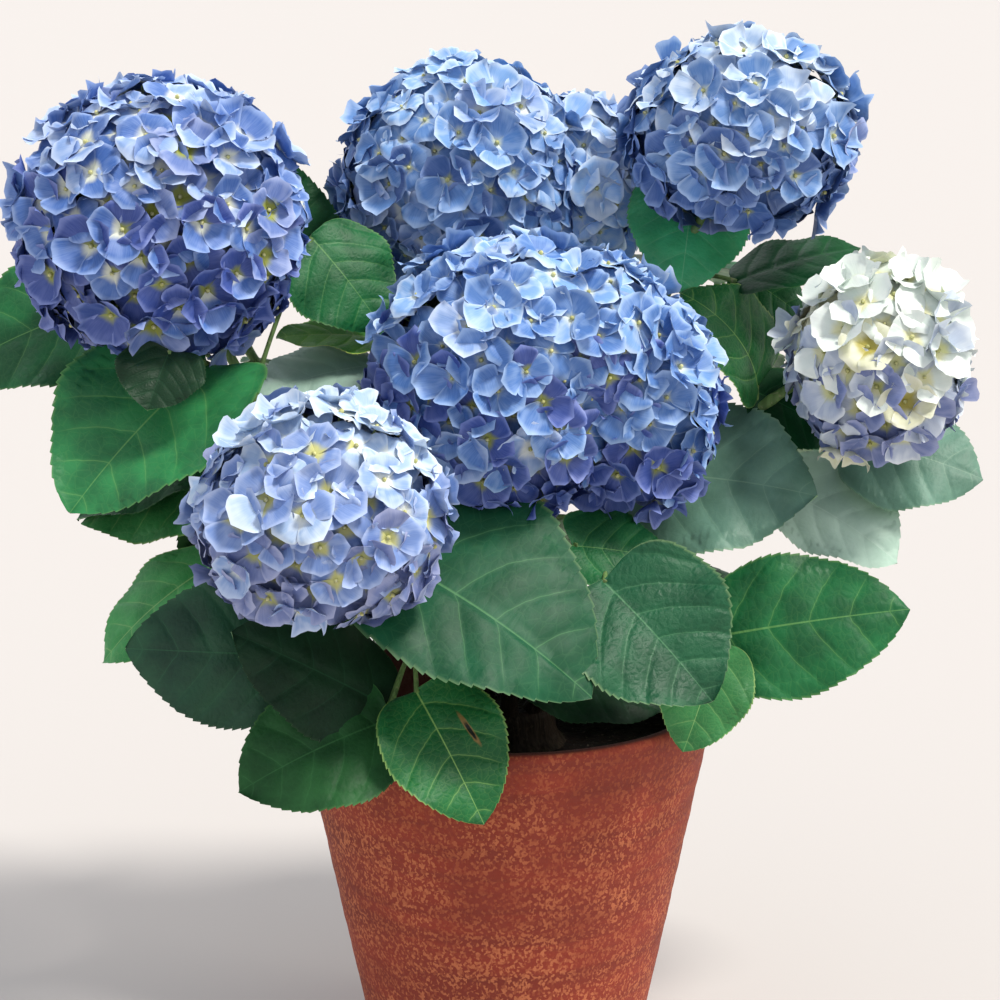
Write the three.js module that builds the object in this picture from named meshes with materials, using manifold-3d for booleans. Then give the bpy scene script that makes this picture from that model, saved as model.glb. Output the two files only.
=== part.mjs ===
// A mophead hydrangea in a hand-thrown terracotta pot, as a three.js scene graph.
// Millimetres, +Z up. The origin is the middle of the pot's flat underside, and the
// viewer stands on the -Y side, with +X to the right.
//
// The plant is a short stock in the soil, ten boughs that leave it, a leafy shoot on each
// bough, and eight flower heads. Two of the heads have grown into a neighbour, so they have
// two lobes and stand on two shoots.

import * as THREE from 'three';
import { mergeVertices } from 'three/addons/utils/BufferGeometryUtils.js';
import Module from 'manifold-3d';

const wasm = await Module();
wasm.setup();

// Driving dimensions of the pot and what fills it.
const POT_HEIGHT = 250;
const POT_RIM_RADIUS = 136.5;
const POT_FOOT_RADIUS = 86.5;
const POT_WALL = 9;
const POT_FLOOR = 12;
const LIP_ROUNDING = 2.5;
const DRAIN_HOLE_RADIUS = 6;
const DRAIN_RING_RADIUS = 46;
const DRAIN_HOLES = 3;
const SOIL_LEVEL = 214;
const ROUND_SIDES = 40;

// Separate pieces stand this far apart where they meet.
const GAP = 0.3;

// The stock and the boughs.
const STOCK_HEIGHT = 26;
const STOCK_FOOT_RADIUS = 40;
const STOCK_TOP_RADIUS = 31;
const BOUGH_RING_RADIUS = 24;
const SHOOT_FOOT_RADIUS = 4.6;
const SHOOT_TIP_RADIUS = 2.6;
const BOUGH_SHARE = 0.28;
const ROOT_MARGIN = 0.07;

// Leaves: a blade is a thin lens in section, thickest along its midrib.
const STALK_RADIUS = 2.1;
const RIB_THICKNESS = 3;
const CLEAR_ROOM = 9;
const BLADE_STATIONS = [0.12, 0.34, 0.62, 0.86];
const WIDEST_AT = 0.38;
const BASE_FULLNESS = 0.5;

// Flower heads: a core, and florets whose throats are sunk in it.
const CORE_SHARE = 0.72;
const FLORET_RADIUS = 26;
const FLORETS_PER_HEAD = 28;
const LOWEST_FLORET = -0.86;
const GOLDEN_ANGLE = Math.PI * (3 - Math.sqrt(5));

// Each shoot rises from the stock on the side given by `from` (degrees about +Z), bends
// over `via` and ends in the middle of a head at `to`, whose half-sizes are `size`.
const SHOOTS = {
  left: { from: 190, via: [-128, -10, 372], to: [-212, -40, 559], size: [92, 84, 85] },
  low_left: { from: 230, via: [-60, -90, 330], to: [-106, -165, 408], size: [79, 70, 71] },
  front: { from: 275, via: [5, -50, 360], to: [-2, -45, 470], size: [86, 78, 89] },
  front_right: { from: 313, via: [70, -50, 340], to: [85, -35, 441], size: [55, 60, 71] },
  white: { from: 350, via: [140, 90, 440], to: [233, 0, 465], size: [61, 64, 70] },
  top_right: { from: 22, via: [76, 104, 455], to: [153, 40, 604], size: [77, 74, 68] },
  back_right: { from: 58, via: [30, 80, 410], to: [41, 120, 560], size: [48, 50, 61] },
  rear: { from: 92, via: [20, 110, 330], to: [38, 165, 406], size: [73, 66, 69] },
  back: { from: 125, via: [-25, 60, 420], to: [-28, 95, 566], size: [87, 76, 86] },
  rear_left: { from: 157, via: [-120, 80, 380], to: [-216, 135, 511], size: [59, 58, 59] },
};

// The heads, each on the shoots that carry it, with the colour most of its petals have.
const HEADS = {
  left: { on: ['left'], colour: 0x6a78cf },
  low_left: { on: ['low_left'], colour: 0xaab8e6 },
  front: { on: ['front', 'front_right'], colour: 0x7d8fd6 },
  white: { on: ['white'], colour: 0xe9ecf2 },
  top_right: { on: ['top_right'], colour: 0x8ba4dd },
  back: { on: ['back', 'back_right'], colour: 0x7f98d6 },
  rear: { on: ['rear'], colour: 0x8fa0dc },
  rear_left: { on: ['rear_left'], colour: 0x8793da },
};

// Leaves set one by one, nearly all of them in full view from the front: where the blade
// starts, the way it points (degrees about +Z, then below the level), its length and width,
// its roll about its own midrib, how far the midrib bends over, and how far the edges stand
// above the midrib (cup, below zero where they drop). A blade with a lean is wider on one side
// of its midrib: on the left one, seen from its stalk, where the lean is below zero.
const PLACED_LEAVES = {
  left: [
    { at: [-252, 55, 492], turn: 188, dip: 22, long: 112, wide: 104, roll: -42, bend: 30, cup: 0.05 },
    { at: [-180, -64, 474], turn: 215, dip: 40, long: 123, wide: 118, roll: -30, bend: 25, cup: 0.2 },
    { at: [-198, -98, 488], turn: 245, dip: 50, long: 40, wide: 54, roll: -20, bend: 20, cup: 0.1 },
    { at: [-98, 12, 300], turn: 178, dip: 24, long: 104, wide: 80, roll: 6, bend: 30, cup: -0.1 },
    { at: [-165, -50, 400], turn: 185, dip: 15, long: 100, wide: 84, roll: -25, bend: 20, cup: -0.1 },
    { at: [-122, 10, 541], turn: 343, dip: 50, long: 74, wide: 76, roll: 45, bend: 25, cup: -0.1 },
  ],
  low_left: [
    { at: [-177, -60, 350], turn: 190, dip: 40, long: 95, wide: 72, roll: -30, bend: 35, cup: -0.1 },
    { at: [-125, -95, 300], turn: 188, dip: -5, long: 105, wide: 92, roll: -75, bend: 20, cup: -0.1 },
    { at: [-70, -110, 272], turn: 195, dip: -30, long: 110, wide: 76, roll: -60, bend: 15, cup: -0.1 },
    { at: [-70, -120, 268], turn: 200, dip: 20, long: 100, wide: 88, roll: -45, bend: 35, cup: 0.1 },
    { at: [-54, -126, 288], turn: 315, dip: 50, long: 90, wide: 76, roll: 30, bend: 25, cup: 0.1 },
  ],
  front: [
    { at: [-67, -113, 365], turn: 340, dip: 30, long: 144, wide: 133, roll: 38, bend: 35, cup: 0, lean: -0.15 },
  ],
  front_right: [
    { at: [58, -98, 348], turn: 328, dip: 40, long: 98, wide: 106, roll: 40, bend: 25, cup: 0.15 },
    { at: [40, -75, 364], turn: 5, dip: 10, long: 60, wide: 55, roll: 45, bend: 20, cup: 0 },
    { at: [88, 27, 385], turn: 338, dip: 2, long: 116, wide: 118, roll: 45, bend: 25, cup: 0 },
    { at: [130, -85, 305], turn: 220, dip: 65, long: 70, wide: 60, roll: -55, bend: 20, cup: 0 },
    { at: [125, -60, 301], turn: 355, dip: -10, long: 125, wide: 92, roll: 60, bend: 20, cup: -0.1 },
    { at: [10, -60, 278], turn: 355, dip: 14, long: 90, wide: 62, roll: 30, bend: 20, cup: 0 },
  ],
  white: [
    { at: [122, 16, 316], turn: 6, dip: 20, long: 112, wide: 84, roll: 6, bend: 30, cup: -0.1 },
    { at: [108, 72, 302], turn: 38, dip: 32, long: 106, wide: 82, roll: 0, bend: 30, cup: -0.1 },
    { at: [174, 45, 373], turn: 341, dip: 28, long: 95, wide: 92, roll: 30, bend: 30, cup: 0.2 },
    { at: [163, 46, 438], turn: 196, dip: -50, long: 84, wide: 76, roll: -50, bend: 70, cup: 0.1 },
    { at: [160, 46, 436], turn: 4, dip: 30, long: 68, wide: 56, roll: 52, bend: 25, cup: 0 },
    { at: [224, 62, 401], turn: 345, dip: 14, long: 92, wide: 86, roll: 45, bend: 25, cup: -0.1 },
    { at: [150, 78, 509], turn: 350, dip: 33, long: 55, wide: 52, roll: 45, bend: 20, cup: 0 },
  ],
  top_right: [
    { at: [121, 101, 555], turn: 258, dip: 39, long: 88, wide: 79, roll: -12, bend: 25, cup: -0.1 },
    { at: [147, 56, 505], turn: 5, dip: -15, long: 85, wide: 60, roll: 20, bend: 20, cup: 0 },
  ],
  back: [
    { at: [-76, 32, 472], turn: 196, dip: -4, long: 72, wide: 60, roll: -12, bend: 20, cup: 0 },
    { at: [-82, 16, 459], turn: 199, dip: 12, long: 86, wide: 74, roll: -25, bend: 25, cup: -0.1 },
    { at: [-132, 62, 496], turn: 120, dip: -68, long: 92, wide: 66, roll: -20, bend: 20, cup: 0 },
  ],
};

// The other leaves follow a rule: pairs stand at these shares of a shoot, each pair turned
// a quarter round from the last, and a leaf is left out where it has no room.
const PAIR_SHARES = [0.38, 0.48, 0.58, 0.68, 0.78];
const SPARE_TURNS = [0, 28, -28, 56, -56];
const RULE_LEAF_LENGTH = [96, 132];
const RULE_LEAF_SLENDERNESS = 0.76;
const RULE_STALK = 34;
const RULE_DIP = [12, 42];
const OPEN_FRONT = [205, 335];

const UP = new THREE.Vector3(0, 0, 1);

/** Smooth repeatable number from 0 to 1 that belongs to the whole number `seed`. */
function chance(seed) {
  const wave = Math.sin(seed * 12.9898) * 43758.5453;
  return wave - Math.floor(wave);
}

function between([low, high], share) {
  return low + (high - low) * share;
}

/** A closed geometry as a solid: positions only, equal corners merged, no empty triangles. */
function solid(geometry) {
  const bare = geometry.clone();
  bare.deleteAttribute('normal');
  bare.deleteAttribute('uv');
  const merged = mergeVertices(bare, 1e-3);
  const index = merged.index.array;
  const kept = [];
  for (let i = 0; i < index.length; i += 3) {
    const [a, b, c] = [index[i], index[i + 1], index[i + 2]];
    if (a !== b && b !== c && c !== a) kept.push(a, b, c);
  }
  const vertProperties = new Float32Array(merged.attributes.position.array);
  const mesh = new wasm.Mesh({ numProp: 3, vertProperties, triVerts: new Uint32Array(kept) });
  return new wasm.Manifold(mesh);
}

/** Joins solids into one; a hollow that they seal between them is filled. */
function fuse(bodies) {
  const shells = wasm.Manifold.union(bodies).decompose();
  return wasm.Manifold.union(shells.filter((shell) => shell.volume() > 0));
}

/** A solid as a three.js geometry. */
function geometryOf(body) {
  const mesh = body.getMesh();
  const geometry = new THREE.BufferGeometry();
  geometry.setAttribute('position', new THREE.BufferAttribute(mesh.vertProperties, 3));
  geometry.setIndex(new THREE.BufferAttribute(mesh.triVerts, 1));
  geometry.computeVertexNormals();
  return geometry;
}

/** Turns a profile of [radius, height] points about +Z. */
function turned(profile, sides = ROUND_SIDES) {
  const points = profile.map(([radius, height]) => new THREE.Vector2(radius, height));
  return new THREE.LatheGeometry(points, sides).rotateX(Math.PI / 2);
}

/** Joins rings of equally many corners into one closed skin; a one-corner ring is a point. */
function loft(rings) {
  const corners = rings.flat();
  const triangles = [];
  const sides = Math.max(...rings.map((ring) => ring.length));
  let start = 0;
  for (let r = 0; r + 1 < rings.length; r += 1) {
    const next = start + rings[r].length;
    const tip = rings[r + 1].length === 1;
    for (let i = 0; i < sides; i += 1) {
      const j = (i + 1) % sides;
      if (tip) {
        triangles.push(start + i, start + j, next);
      } else {
        triangles.push(start + i, start + j, next + j, start + i, next + j, next + i);
      }
    }
    start = next;
  }
  for (let i = 1; i + 1 < sides; i += 1) {
    triangles.push(0, i + 1, i);
    if (rings.at(-1).length > 1) triangles.push(start, start + i, start + i + 1);
  }
  const geometry = new THREE.BufferGeometry().setFromPoints(corners);
  geometry.setIndex(triangles);
  return geometry;
}

/** The shoot's centre line, from the top of the stock to the middle of its head. */
function shootLine({ from, via, to }) {
  const side = THREE.MathUtils.degToRad(from);
  const foot = new THREE.Vector3(
    BOUGH_RING_RADIUS * Math.cos(side),
    BOUGH_RING_RADIUS * Math.sin(side),
    SOIL_LEVEL + GAP + STOCK_HEIGHT,
  );
  return new THREE.QuadraticBezierCurve3(foot, new THREE.Vector3(...via), new THREE.Vector3(...to));
}

/** Where the leafy shoot ends: the share of the line that lies a head's depth from its end. */
function headShare(line, size) {
  const reach = 1.06 * Math.max(...size);
  const end = line.getPoint(1);
  let share = 1;
  while (line.getPoint(share).distanceTo(end) < reach) share -= 0.005;
  return share;
}

function shootRadius(share) {
  return THREE.MathUtils.lerp(SHOOT_FOOT_RADIUS, SHOOT_TIP_RADIUS, share);
}

/** One stretch of a shoot as a tapering limb, drawn in by half a gap at both ends. */
function limb(line, start, end, { sides, steps, level = false }) {
  const rings = [];
  for (let k = 0; k <= steps; k += 1) {
    const share = THREE.MathUtils.lerp(start, end, k / steps);
    const along = line.getTangent(share);
    const centre = line.getPoint(share);
    if (k === 0) centre.addScaledVector(level ? UP : along, GAP / 2);
    if (k === steps && end < 1) centre.addScaledVector(along, -GAP / 2);
    const facing = level && k === 0 ? UP : along;
    const right = new THREE.Vector3(1, 0, 0).cross(facing).normalize();
    const ahead = new THREE.Vector3().crossVectors(facing, right);
    const ring = [];
    for (let i = 0; i < sides; i += 1) {
      const angle = (2 * Math.PI * i) / sides;
      const radius = shootRadius(share);
      ring.push(centre.clone()
        .addScaledVector(right, radius * Math.cos(angle))
        .addScaledVector(ahead, radius * Math.sin(angle)));
    }
    rings.push(ring);
  }
  return loft(rings);
}

/** Half the blade's width at share s of its length: full near the stalk, drawn out at the tip. */
function halfWidth(wide, s) {
  const tipFullness = BASE_FULLNESS * (1 - WIDEST_AT) / WIDEST_AT;
  const base = (s / WIDEST_AT) ** BASE_FULLNESS;
  const tip = ((1 - s) / (1 - WIDEST_AT)) ** tipFullness;
  return 0.5 * wide * base * tip;
}

/** The leaf's own directions: along the midrib, across it, and out of its upper face. */
function leafFrame({ turn, dip, roll }) {
  const [t, d, r] = [turn, dip, roll].map(THREE.MathUtils.degToRad);
  const along = new THREE.Vector3(Math.cos(d) * Math.cos(t), Math.cos(d) * Math.sin(t), -Math.sin(d));
  const level = new THREE.Vector3().crossVectors(along, UP).normalize();
  const upright = new THREE.Vector3().crossVectors(level, along);
  const face = upright.clone().multiplyScalar(Math.cos(r)).addScaledVector(level, Math.sin(r));
  const across = level.clone().multiplyScalar(Math.cos(r)).addScaledVector(upright, -Math.sin(r));
  return { along, across, face };
}

/**
 * A leaf as rings of four corners: two on the edges, one above and one below the midrib.
 * The midrib is an arc whose chord is `long` and which turns through `bend` degrees.
 */
function leafRings(leaf, thickness) {
  const { along, across, face } = leafFrame(leaf);
  const base = new THREE.Vector3(...leaf.at);
  const bend = THREE.MathUtils.degToRad(leaf.bend);
  const radius = leaf.long / (2 * Math.sin(bend / 2));
  const midrib = (s) => {
    const angle = (0.5 - s) * bend;
    return base.clone()
      .addScaledVector(along, radius * (Math.sin(bend / 2) - Math.sin(angle)))
      .addScaledVector(face, radius * (Math.cos(angle) - Math.cos(bend / 2)));
  };
  const rings = BLADE_STATIONS.map((s) => {
    const angle = (0.5 - s) * bend;
    const out = face.clone().multiplyScalar(Math.cos(angle)).addScaledVector(along, -Math.sin(angle));
    const centre = midrib(s);
    const width = halfWidth(leaf.wide, s);
    const edge = centre.clone().addScaledVector(out, leaf.cup * width);
    const half = 0.5 * thickness * (1 - 0.6 * s);
    const lean = (leaf.lean ?? 0) * width;
    return [
      edge.clone().addScaledVector(across, lean - width),
      centre.clone().addScaledVector(out, half),
      edge.clone().addScaledVector(across, lean + width),
      centre.clone().addScaledVector(out, -half),
    ];
  });
  rings.push([midrib(1)]);
  return rings;
}

function diamond(centre, across, out, radius) {
  return [
    centre.clone().addScaledVector(across, -radius),
    centre.clone().addScaledVector(out, radius),
    centre.clone().addScaledVector(across, radius),
    centre.clone().addScaledVector(out, -radius),
  ];
}

/** A blade with its stalk, which starts inside the shoot at `root`. */
function leafSolid(leaf, root) {
  const { across, face } = leafFrame(leaf);
  const base = new THREE.Vector3(...leaf.at);
  const way = base.clone().sub(root).normalize();
  const side = across.clone().addScaledVector(way, -way.dot(across)).normalize();
  const out = new THREE.Vector3().crossVectors(side, way);
  const rings = [
    diamond(root, side, out, STALK_RADIUS),
    diamond(base, across, face, STALK_RADIUS),
    ...leafRings(leaf, RIB_THICKNESS),
  ];
  return solid(loft(rings));
}

/** The blade alone, thickened to the room that it needs. */
function roomSolid(leaf) {
  return solid(loft(leafRings(leaf, CLEAR_ROOM)));
}

/** The point nearest to a leaf's base on the leafy part of its shoot, short of both ends. */
function nearestRoot(line, end, leaf) {
  const target = new THREE.Vector3(...leaf.at);
  let best = null;
  for (let k = 0; k <= 60; k += 1) {
    const share = THREE.MathUtils.lerp(BOUGH_SHARE + ROOT_MARGIN, end - ROOT_MARGIN, k / 60);
    const point = line.getPoint(share);
    if (best === null || point.distanceTo(target) < best.distanceTo(target)) best = point;
  }
  return best;
}

/** The leaves that the rule gives a shoot, before room is looked for. */
function ruleLeaves(line, end, order) {
  const leaves = [];
  PAIR_SHARES.filter((share) => share < end - ROOT_MARGIN).forEach((share, pair) => {
    for (const half of [0, 1]) {
      const seed = 100 * order + 10 * pair + half;
      const first = 37 * order + 90 * pair + 180 * half + 24 * chance(seed);
      const dip = between(RULE_DIP, chance(seed + 3));
      const long = between(RULE_LEAF_LENGTH, chance(seed + 5));
      const node = line.getPoint(share);
      leaves.push(SPARE_TURNS.map((spare) => {
        const turn = (first + spare + 360) % 360;
        const way = THREE.MathUtils.degToRad(turn);
        const at = [
          node.x + RULE_STALK * Math.cos(way),
          node.y + RULE_STALK * Math.sin(way),
          node.z + 0.3 * RULE_STALK,
        ];
        const roll = 24 * (chance(seed + 7) - 0.5);
        return { at, turn, dip, long, wide: RULE_LEAF_SLENDERNESS * long, roll, bend: 28, cup: -0.08 };
      }).filter(({ turn }) => turn < OPEN_FRONT[0] || turn > OPEN_FRONT[1]));
    }
  });
  return leaves;
}

/** One floret: an eight-cornered cup with four sepal tips, tapering to a root in the core. */
function floret(centre, outward, spin, radius, depth) {
  const right = new THREE.Vector3(outward.y, -outward.x, 0.01).cross(outward).normalize();
  const ahead = new THREE.Vector3().crossVectors(outward, right);
  const rim = [];
  for (let i = 0; i < 8; i += 1) {
    const angle = spin + (Math.PI * i) / 4;
    const reach = radius * (i % 2 === 0 ? 1 : 0.74);
    rim.push(centre.clone()
      .addScaledVector(right, reach * Math.cos(angle))
      .addScaledVector(ahead, reach * Math.sin(angle)));
  }
  const throat = centre.clone().addScaledVector(outward, -0.22 * radius);
  const root = centre.clone().addScaledVector(outward, -depth);
  const corners = [...rim, throat, root];
  const triangles = [];
  for (let i = 0; i < 8; i += 1) {
    const j = (i + 1) % 8;
    triangles.push(i, j, 8, j, i, 9);
  }
  const geometry = new THREE.BufferGeometry().setFromPoints(corners);
  geometry.setIndex(triangles);
  return solid(geometry);
}

/** Whether a point lies in an ellipsoid of the given middle and half-sizes. */
function inside(point, middle, size, share = 1) {
  const x = (point.x - middle[0]) / (share * size[0]);
  const y = (point.y - middle[1]) / (share * size[1]);
  const z = (point.z - middle[2]) / (share * size[2]);
  return x * x + y * y + z * z < 1;
}

/** The florets of one lobe, on a spiral that winds down from its top. */
function lobeFlorets(shoot, others, seed) {
  const middle = new THREE.Vector3(...shoot.to);
  const scale = Math.cbrt(shoot.size[0] * shoot.size[1] * shoot.size[2]);
  const count = Math.round(FLORETS_PER_HEAD * (scale / 80) ** 2);
  const bodies = [];
  for (let i = 0; i < count; i += 1) {
    const height = 1 - (1 - LOWEST_FLORET) * ((i + 0.5) / count);
    const round = Math.sqrt(1 - height * height);
    const angle = seed + i * GOLDEN_ANGLE;
    const unit = new THREE.Vector3(round * Math.cos(angle), round * Math.sin(angle), height);
    const [a, b, c] = shoot.size;
    const outward = new THREE.Vector3(unit.x / a, unit.y / b, unit.z / c).normalize();
    const reach = 0.95 + 0.06 * chance(seed * 50 + i);
    const centre = new THREE.Vector3(unit.x * a, unit.y * b, unit.z * c)
      .multiplyScalar(reach)
      .add(middle);
    if (others.some((other) => inside(centre, other.to, other.size, 0.97))) continue;
    bodies.push(floret(centre, outward, 2.1 * i, FLORET_RADIUS, 0.5 * scale));
  }
  return bodies;
}

/** A whole head: the lobes' cores, their florets and the stalk of each lobe, fused. */
function headSolid(names, seed) {
  const shoots = names.map((name) => SHOOTS[name]);
  const pieces = shoots.flatMap((shoot, k) => {
    const line = shootLine(shoot);
    const core = new THREE.IcosahedronGeometry(1, 1)
      .scale(...shoot.size.map((half) => CORE_SHARE * half))
      .translate(...shoot.to);
    const stalk = limb(line, headShare(line, shoot.size), 1, { sides: 6, steps: 2 });
    const others = shoots.filter((other) => other !== shoot);
    return [solid(core), solid(stalk), ...lobeFlorets(shoot, others, seed + k)];
  });
  return fuse(pieces);
}

/** The pot: an open cone of even wall with a rounded lip and drainage holes in its floor. */
function potSolid() {
  const slope = (POT_RIM_RADIUS - POT_FOOT_RADIUS) / POT_HEIGHT;
  const inner = (height) => POT_FOOT_RADIUS + slope * height - POT_WALL;
  const lip = POT_HEIGHT - LIP_ROUNDING;
  const body = solid(turned([
    [0, 0],
    [POT_FOOT_RADIUS - LIP_ROUNDING, 0],
    [POT_FOOT_RADIUS + slope * LIP_ROUNDING, LIP_ROUNDING],
    [POT_RIM_RADIUS - slope * LIP_ROUNDING, lip],
    [POT_RIM_RADIUS - LIP_ROUNDING, POT_HEIGHT],
    [POT_RIM_RADIUS - POT_WALL + LIP_ROUNDING, POT_HEIGHT],
    [inner(lip), lip],
    [inner(POT_FLOOR), POT_FLOOR],
    [0, POT_FLOOR],
  ]));
  const holes = [];
  for (let k = 0; k < DRAIN_HOLES; k += 1) {
    const angle = (2 * Math.PI * k) / DRAIN_HOLES;
    const hole = new THREE.CylinderGeometry(DRAIN_HOLE_RADIUS, DRAIN_HOLE_RADIUS, 2 * POT_FLOOR, 16)
      .rotateX(Math.PI / 2)
      .translate(DRAIN_RING_RADIUS * Math.cos(angle), DRAIN_RING_RADIUS * Math.sin(angle), POT_FLOOR / 2);
    holes.push(solid(hole));
  }
  return body.subtract(wasm.Manifold.union(holes));
}

/** The soil, a cone that fills the pot to below its lip. */
function soilGeometry() {
  const slope = (POT_RIM_RADIUS - POT_FOOT_RADIUS) / POT_HEIGHT;
  const radius = (height) => POT_FOOT_RADIUS + slope * height - POT_WALL - GAP;
  const bottom = POT_FLOOR + GAP;
  return turned([
    [0, bottom],
    [radius(bottom), bottom],
    [radius(SOIL_LEVEL), SOIL_LEVEL],
    [0, SOIL_LEVEL],
  ]);
}

/** The stock: a short stump that flares at the soil and is cut level where the boughs start. */
function stockGeometry() {
  const foot = SOIL_LEVEL + GAP;
  return turned([
    [0, foot],
    [STOCK_FOOT_RADIUS, foot],
    [STOCK_TOP_RADIUS + 2, foot + 0.4 * STOCK_HEIGHT],
    [STOCK_TOP_RADIUS, foot + STOCK_HEIGHT],
    [0, foot + STOCK_HEIGHT],
  ], 20);
}

const COLOURS = {
  terracotta: { color: 0xa65a40, roughness: 0.85 },
  soil: { color: 0x2a211a, roughness: 1 },
  bark: { color: 0x6b5a45, roughness: 0.9 },
  leaf: { color: 0x2e7347, roughness: 0.5 },
};

const plant = new THREE.Group();
plant.name = 'potted_hydrangea';

function addPart(name, geometry, finish) {
  const mesh = new THREE.Mesh(geometry, new THREE.MeshStandardMaterial({ metalness: 0, ...finish }));
  mesh.name = name;
  plant.add(mesh);
}

addPart('pot', geometryOf(potSolid()), COLOURS.terracotta);
addPart('soil', geometryOf(solid(soilGeometry())), COLOURS.soil);
addPart('stock', geometryOf(solid(stockGeometry())), COLOURS.bark);

// What stands already, and in which mass: a leaf of the rule looks for room among these.
const standing = [];

function stand(owner, body) {
  standing.push({ owner, body });
}

/** Whether a leaf clears all blades, and its stalk clears all but its own shoot. */
function hasRoom(owner, leaf, root) {
  const blade = roomSolid(leaf);
  if (standing.some(({ body }) => !body.intersect(blade).isEmpty())) return false;
  const whole = leafSolid(leaf, root);
  const others = standing.filter((piece) => piece.owner !== owner);
  return !others.some(({ body }) => !body.intersect(whole).isEmpty());
}

stand('pot', potSolid());
stand('soil', solid(soilGeometry()));

Object.entries(HEADS).forEach(([name, { on, colour }], order) => {
  const body = headSolid(on, 0.7 * order);
  stand(`bloom_${name}`, body);
  addPart(`bloom_${name}`, geometryOf(body), { color: colour, roughness: 0.6 });
});

const lines = {};
Object.entries(SHOOTS).forEach(([name, shoot]) => {
  lines[name] = shootLine(shoot);
  const body = solid(limb(lines[name], 0, BOUGH_SHARE, { sides: 6, steps: 5, level: true }));
  stand(`bough_${name}`, body);
  addPart(`bough_${name}`, geometryOf(body), COLOURS.bark);
});

const masses = {};
Object.entries(SHOOTS).forEach(([name, shoot]) => {
  const line = lines[name];
  const end = headShare(line, shoot.size);
  const stem = solid(limb(line, BOUGH_SHARE, end, { sides: 6, steps: 5 }));
  const leaves = PLACED_LEAVES[name] ?? [];
  masses[name] = [stem, ...leaves.map((leaf) => {
    return leafSolid(leaf, nearestRoot(line, end, leaf));
  })];
  masses[name].forEach((body) => stand(name, body));
});

Object.entries(SHOOTS).forEach(([name, shoot], order) => {
  const line = lines[name];
  const end = headShare(line, shoot.size);
  for (const choices of ruleLeaves(line, end, order)) {
    const leaf = choices.find((choice) => hasRoom(name, choice, nearestRoot(line, end, choice)));
    if (!leaf) continue;
    masses[name].push(leafSolid(leaf, nearestRoot(line, end, leaf)));
    stand(name, roomSolid(leaf));
  }
  addPart(`leaves_${name}`, geometryOf(fuse(masses[name])), COLOURS.leaf);
});

export default plant;
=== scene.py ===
"""A hydrangea in a terracotta pot, dressed over its solids.

Lengths in the tables are in millimetres and are turned to metres when a mesh is made.
The frame is that of the solids: +Z up, the origin in the middle of the pot's flat
underside, and the front of the plant towards -Y.
"""
import logging
from dataclasses import dataclass, field
from enum import Enum
from math import cbrt, cos, pi, radians, sin, sqrt

import bpy
import numpy as np
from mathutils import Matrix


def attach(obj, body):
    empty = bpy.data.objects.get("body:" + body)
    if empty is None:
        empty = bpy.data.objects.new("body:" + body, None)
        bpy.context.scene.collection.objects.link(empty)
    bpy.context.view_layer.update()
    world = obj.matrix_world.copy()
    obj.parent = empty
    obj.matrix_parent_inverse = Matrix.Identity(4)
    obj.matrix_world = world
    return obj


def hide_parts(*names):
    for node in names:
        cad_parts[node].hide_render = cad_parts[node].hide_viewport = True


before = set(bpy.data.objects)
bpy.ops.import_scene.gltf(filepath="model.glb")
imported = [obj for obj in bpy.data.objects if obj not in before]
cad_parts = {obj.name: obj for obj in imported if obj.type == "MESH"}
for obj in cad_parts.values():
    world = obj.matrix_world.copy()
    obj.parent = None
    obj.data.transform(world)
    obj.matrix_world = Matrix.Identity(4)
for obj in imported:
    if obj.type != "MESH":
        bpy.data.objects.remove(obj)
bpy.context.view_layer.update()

log = logging.getLogger("potted_hydrangea")

Array = np.ndarray
Point = tuple[float, float, float]
Colour = tuple[float, float, float, float]
Maps = dict[str, tuple[Array, Array]]

MM = 0.001
BODY = "root"
GOLDEN_ANGLE = pi * (3 - sqrt(5))
UP = np.array([0.0, 0.0, 1.0])
# The way the light comes from, by which sepals are dealt pale or deep tints: painted light and
# shade.
PAINTED_LIGHT_SIDE = np.array([0.17, -0.2, 0.965])


def chance(seed: Array | float) -> Array:
    """Repeatable number from 0 to 1 for each seed: the fraction of a large sine."""
    wave = np.sin(np.asarray(seed, float) * 12.9898) * 43758.5453
    return wave - np.floor(wave)


def spread(seed: Array | float, low: float, high: float) -> Array:
    """Repeatable number from low to high for each seed."""
    return low + (high - low) * chance(seed)


def unit(vectors: Array) -> Array:
    """The same directions at length one."""
    return vectors / np.maximum(np.linalg.norm(vectors, axis=-1, keepdims=True), 1e-9)


def ease(value: Array, low: float, high: float) -> Array:
    """Smooth step from 0 at low to 1 at high."""
    share = np.clip((value - low) / (high - low), 0, 1)
    return share * share * (3 - 2 * share)


def ripple(points: Array, size: float, seed: float = 0.0) -> Array:
    """Rolling unevenness from -1 to 1: the mean of five crossed sines about `size` long.

    Args:
        points: places, with x, y and z on the last axis.
        size: the length of the longest wave, in the unit of the points.
        seed: shifts the waves.
    """
    total = np.zeros(points.shape[:-1])
    for k in range(5):
        way = unit(np.array([sin(2.1 * k + seed), cos(3.7 * k + seed), sin(1.3 * k + 1 + seed)]))
        total += np.sin(points @ way * (2 * pi / size) * (1 + 0.37 * k) + 4.1 * k + seed)
    return total / 5


def joined(*parts: Array | float) -> Array:
    """Parts spread to one shape, side by side on a new last axis."""
    return np.stack(np.broadcast_arrays(*parts), axis=-1)


def paint(code: str) -> Colour:
    """Linear colour of a six-digit screen colour."""
    parts = np.array([int(code[i:i + 2], 16) for i in (0, 2, 4)]) / 255
    linear = np.where(parts <= 0.04045, parts / 12.92, ((parts + 0.055) / 1.055) ** 2.4)
    return (*map(float, linear), 1.0)


def cell(flat: Array, index: Array | int, side: int) -> Array:
    """Moves unit squares into cells of a sheet of side x side cells, with a margin.

    Args:
        flat: map places from 0 to 1, with u and v on the last axis.
        index: the number of each place's cell.
        side: cells along one side of the sheet.
    """
    corner = joined(np.asarray(index) % side, np.asarray(index) // side)
    return (0.04 + 0.92 * flat + corner) / side


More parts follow.
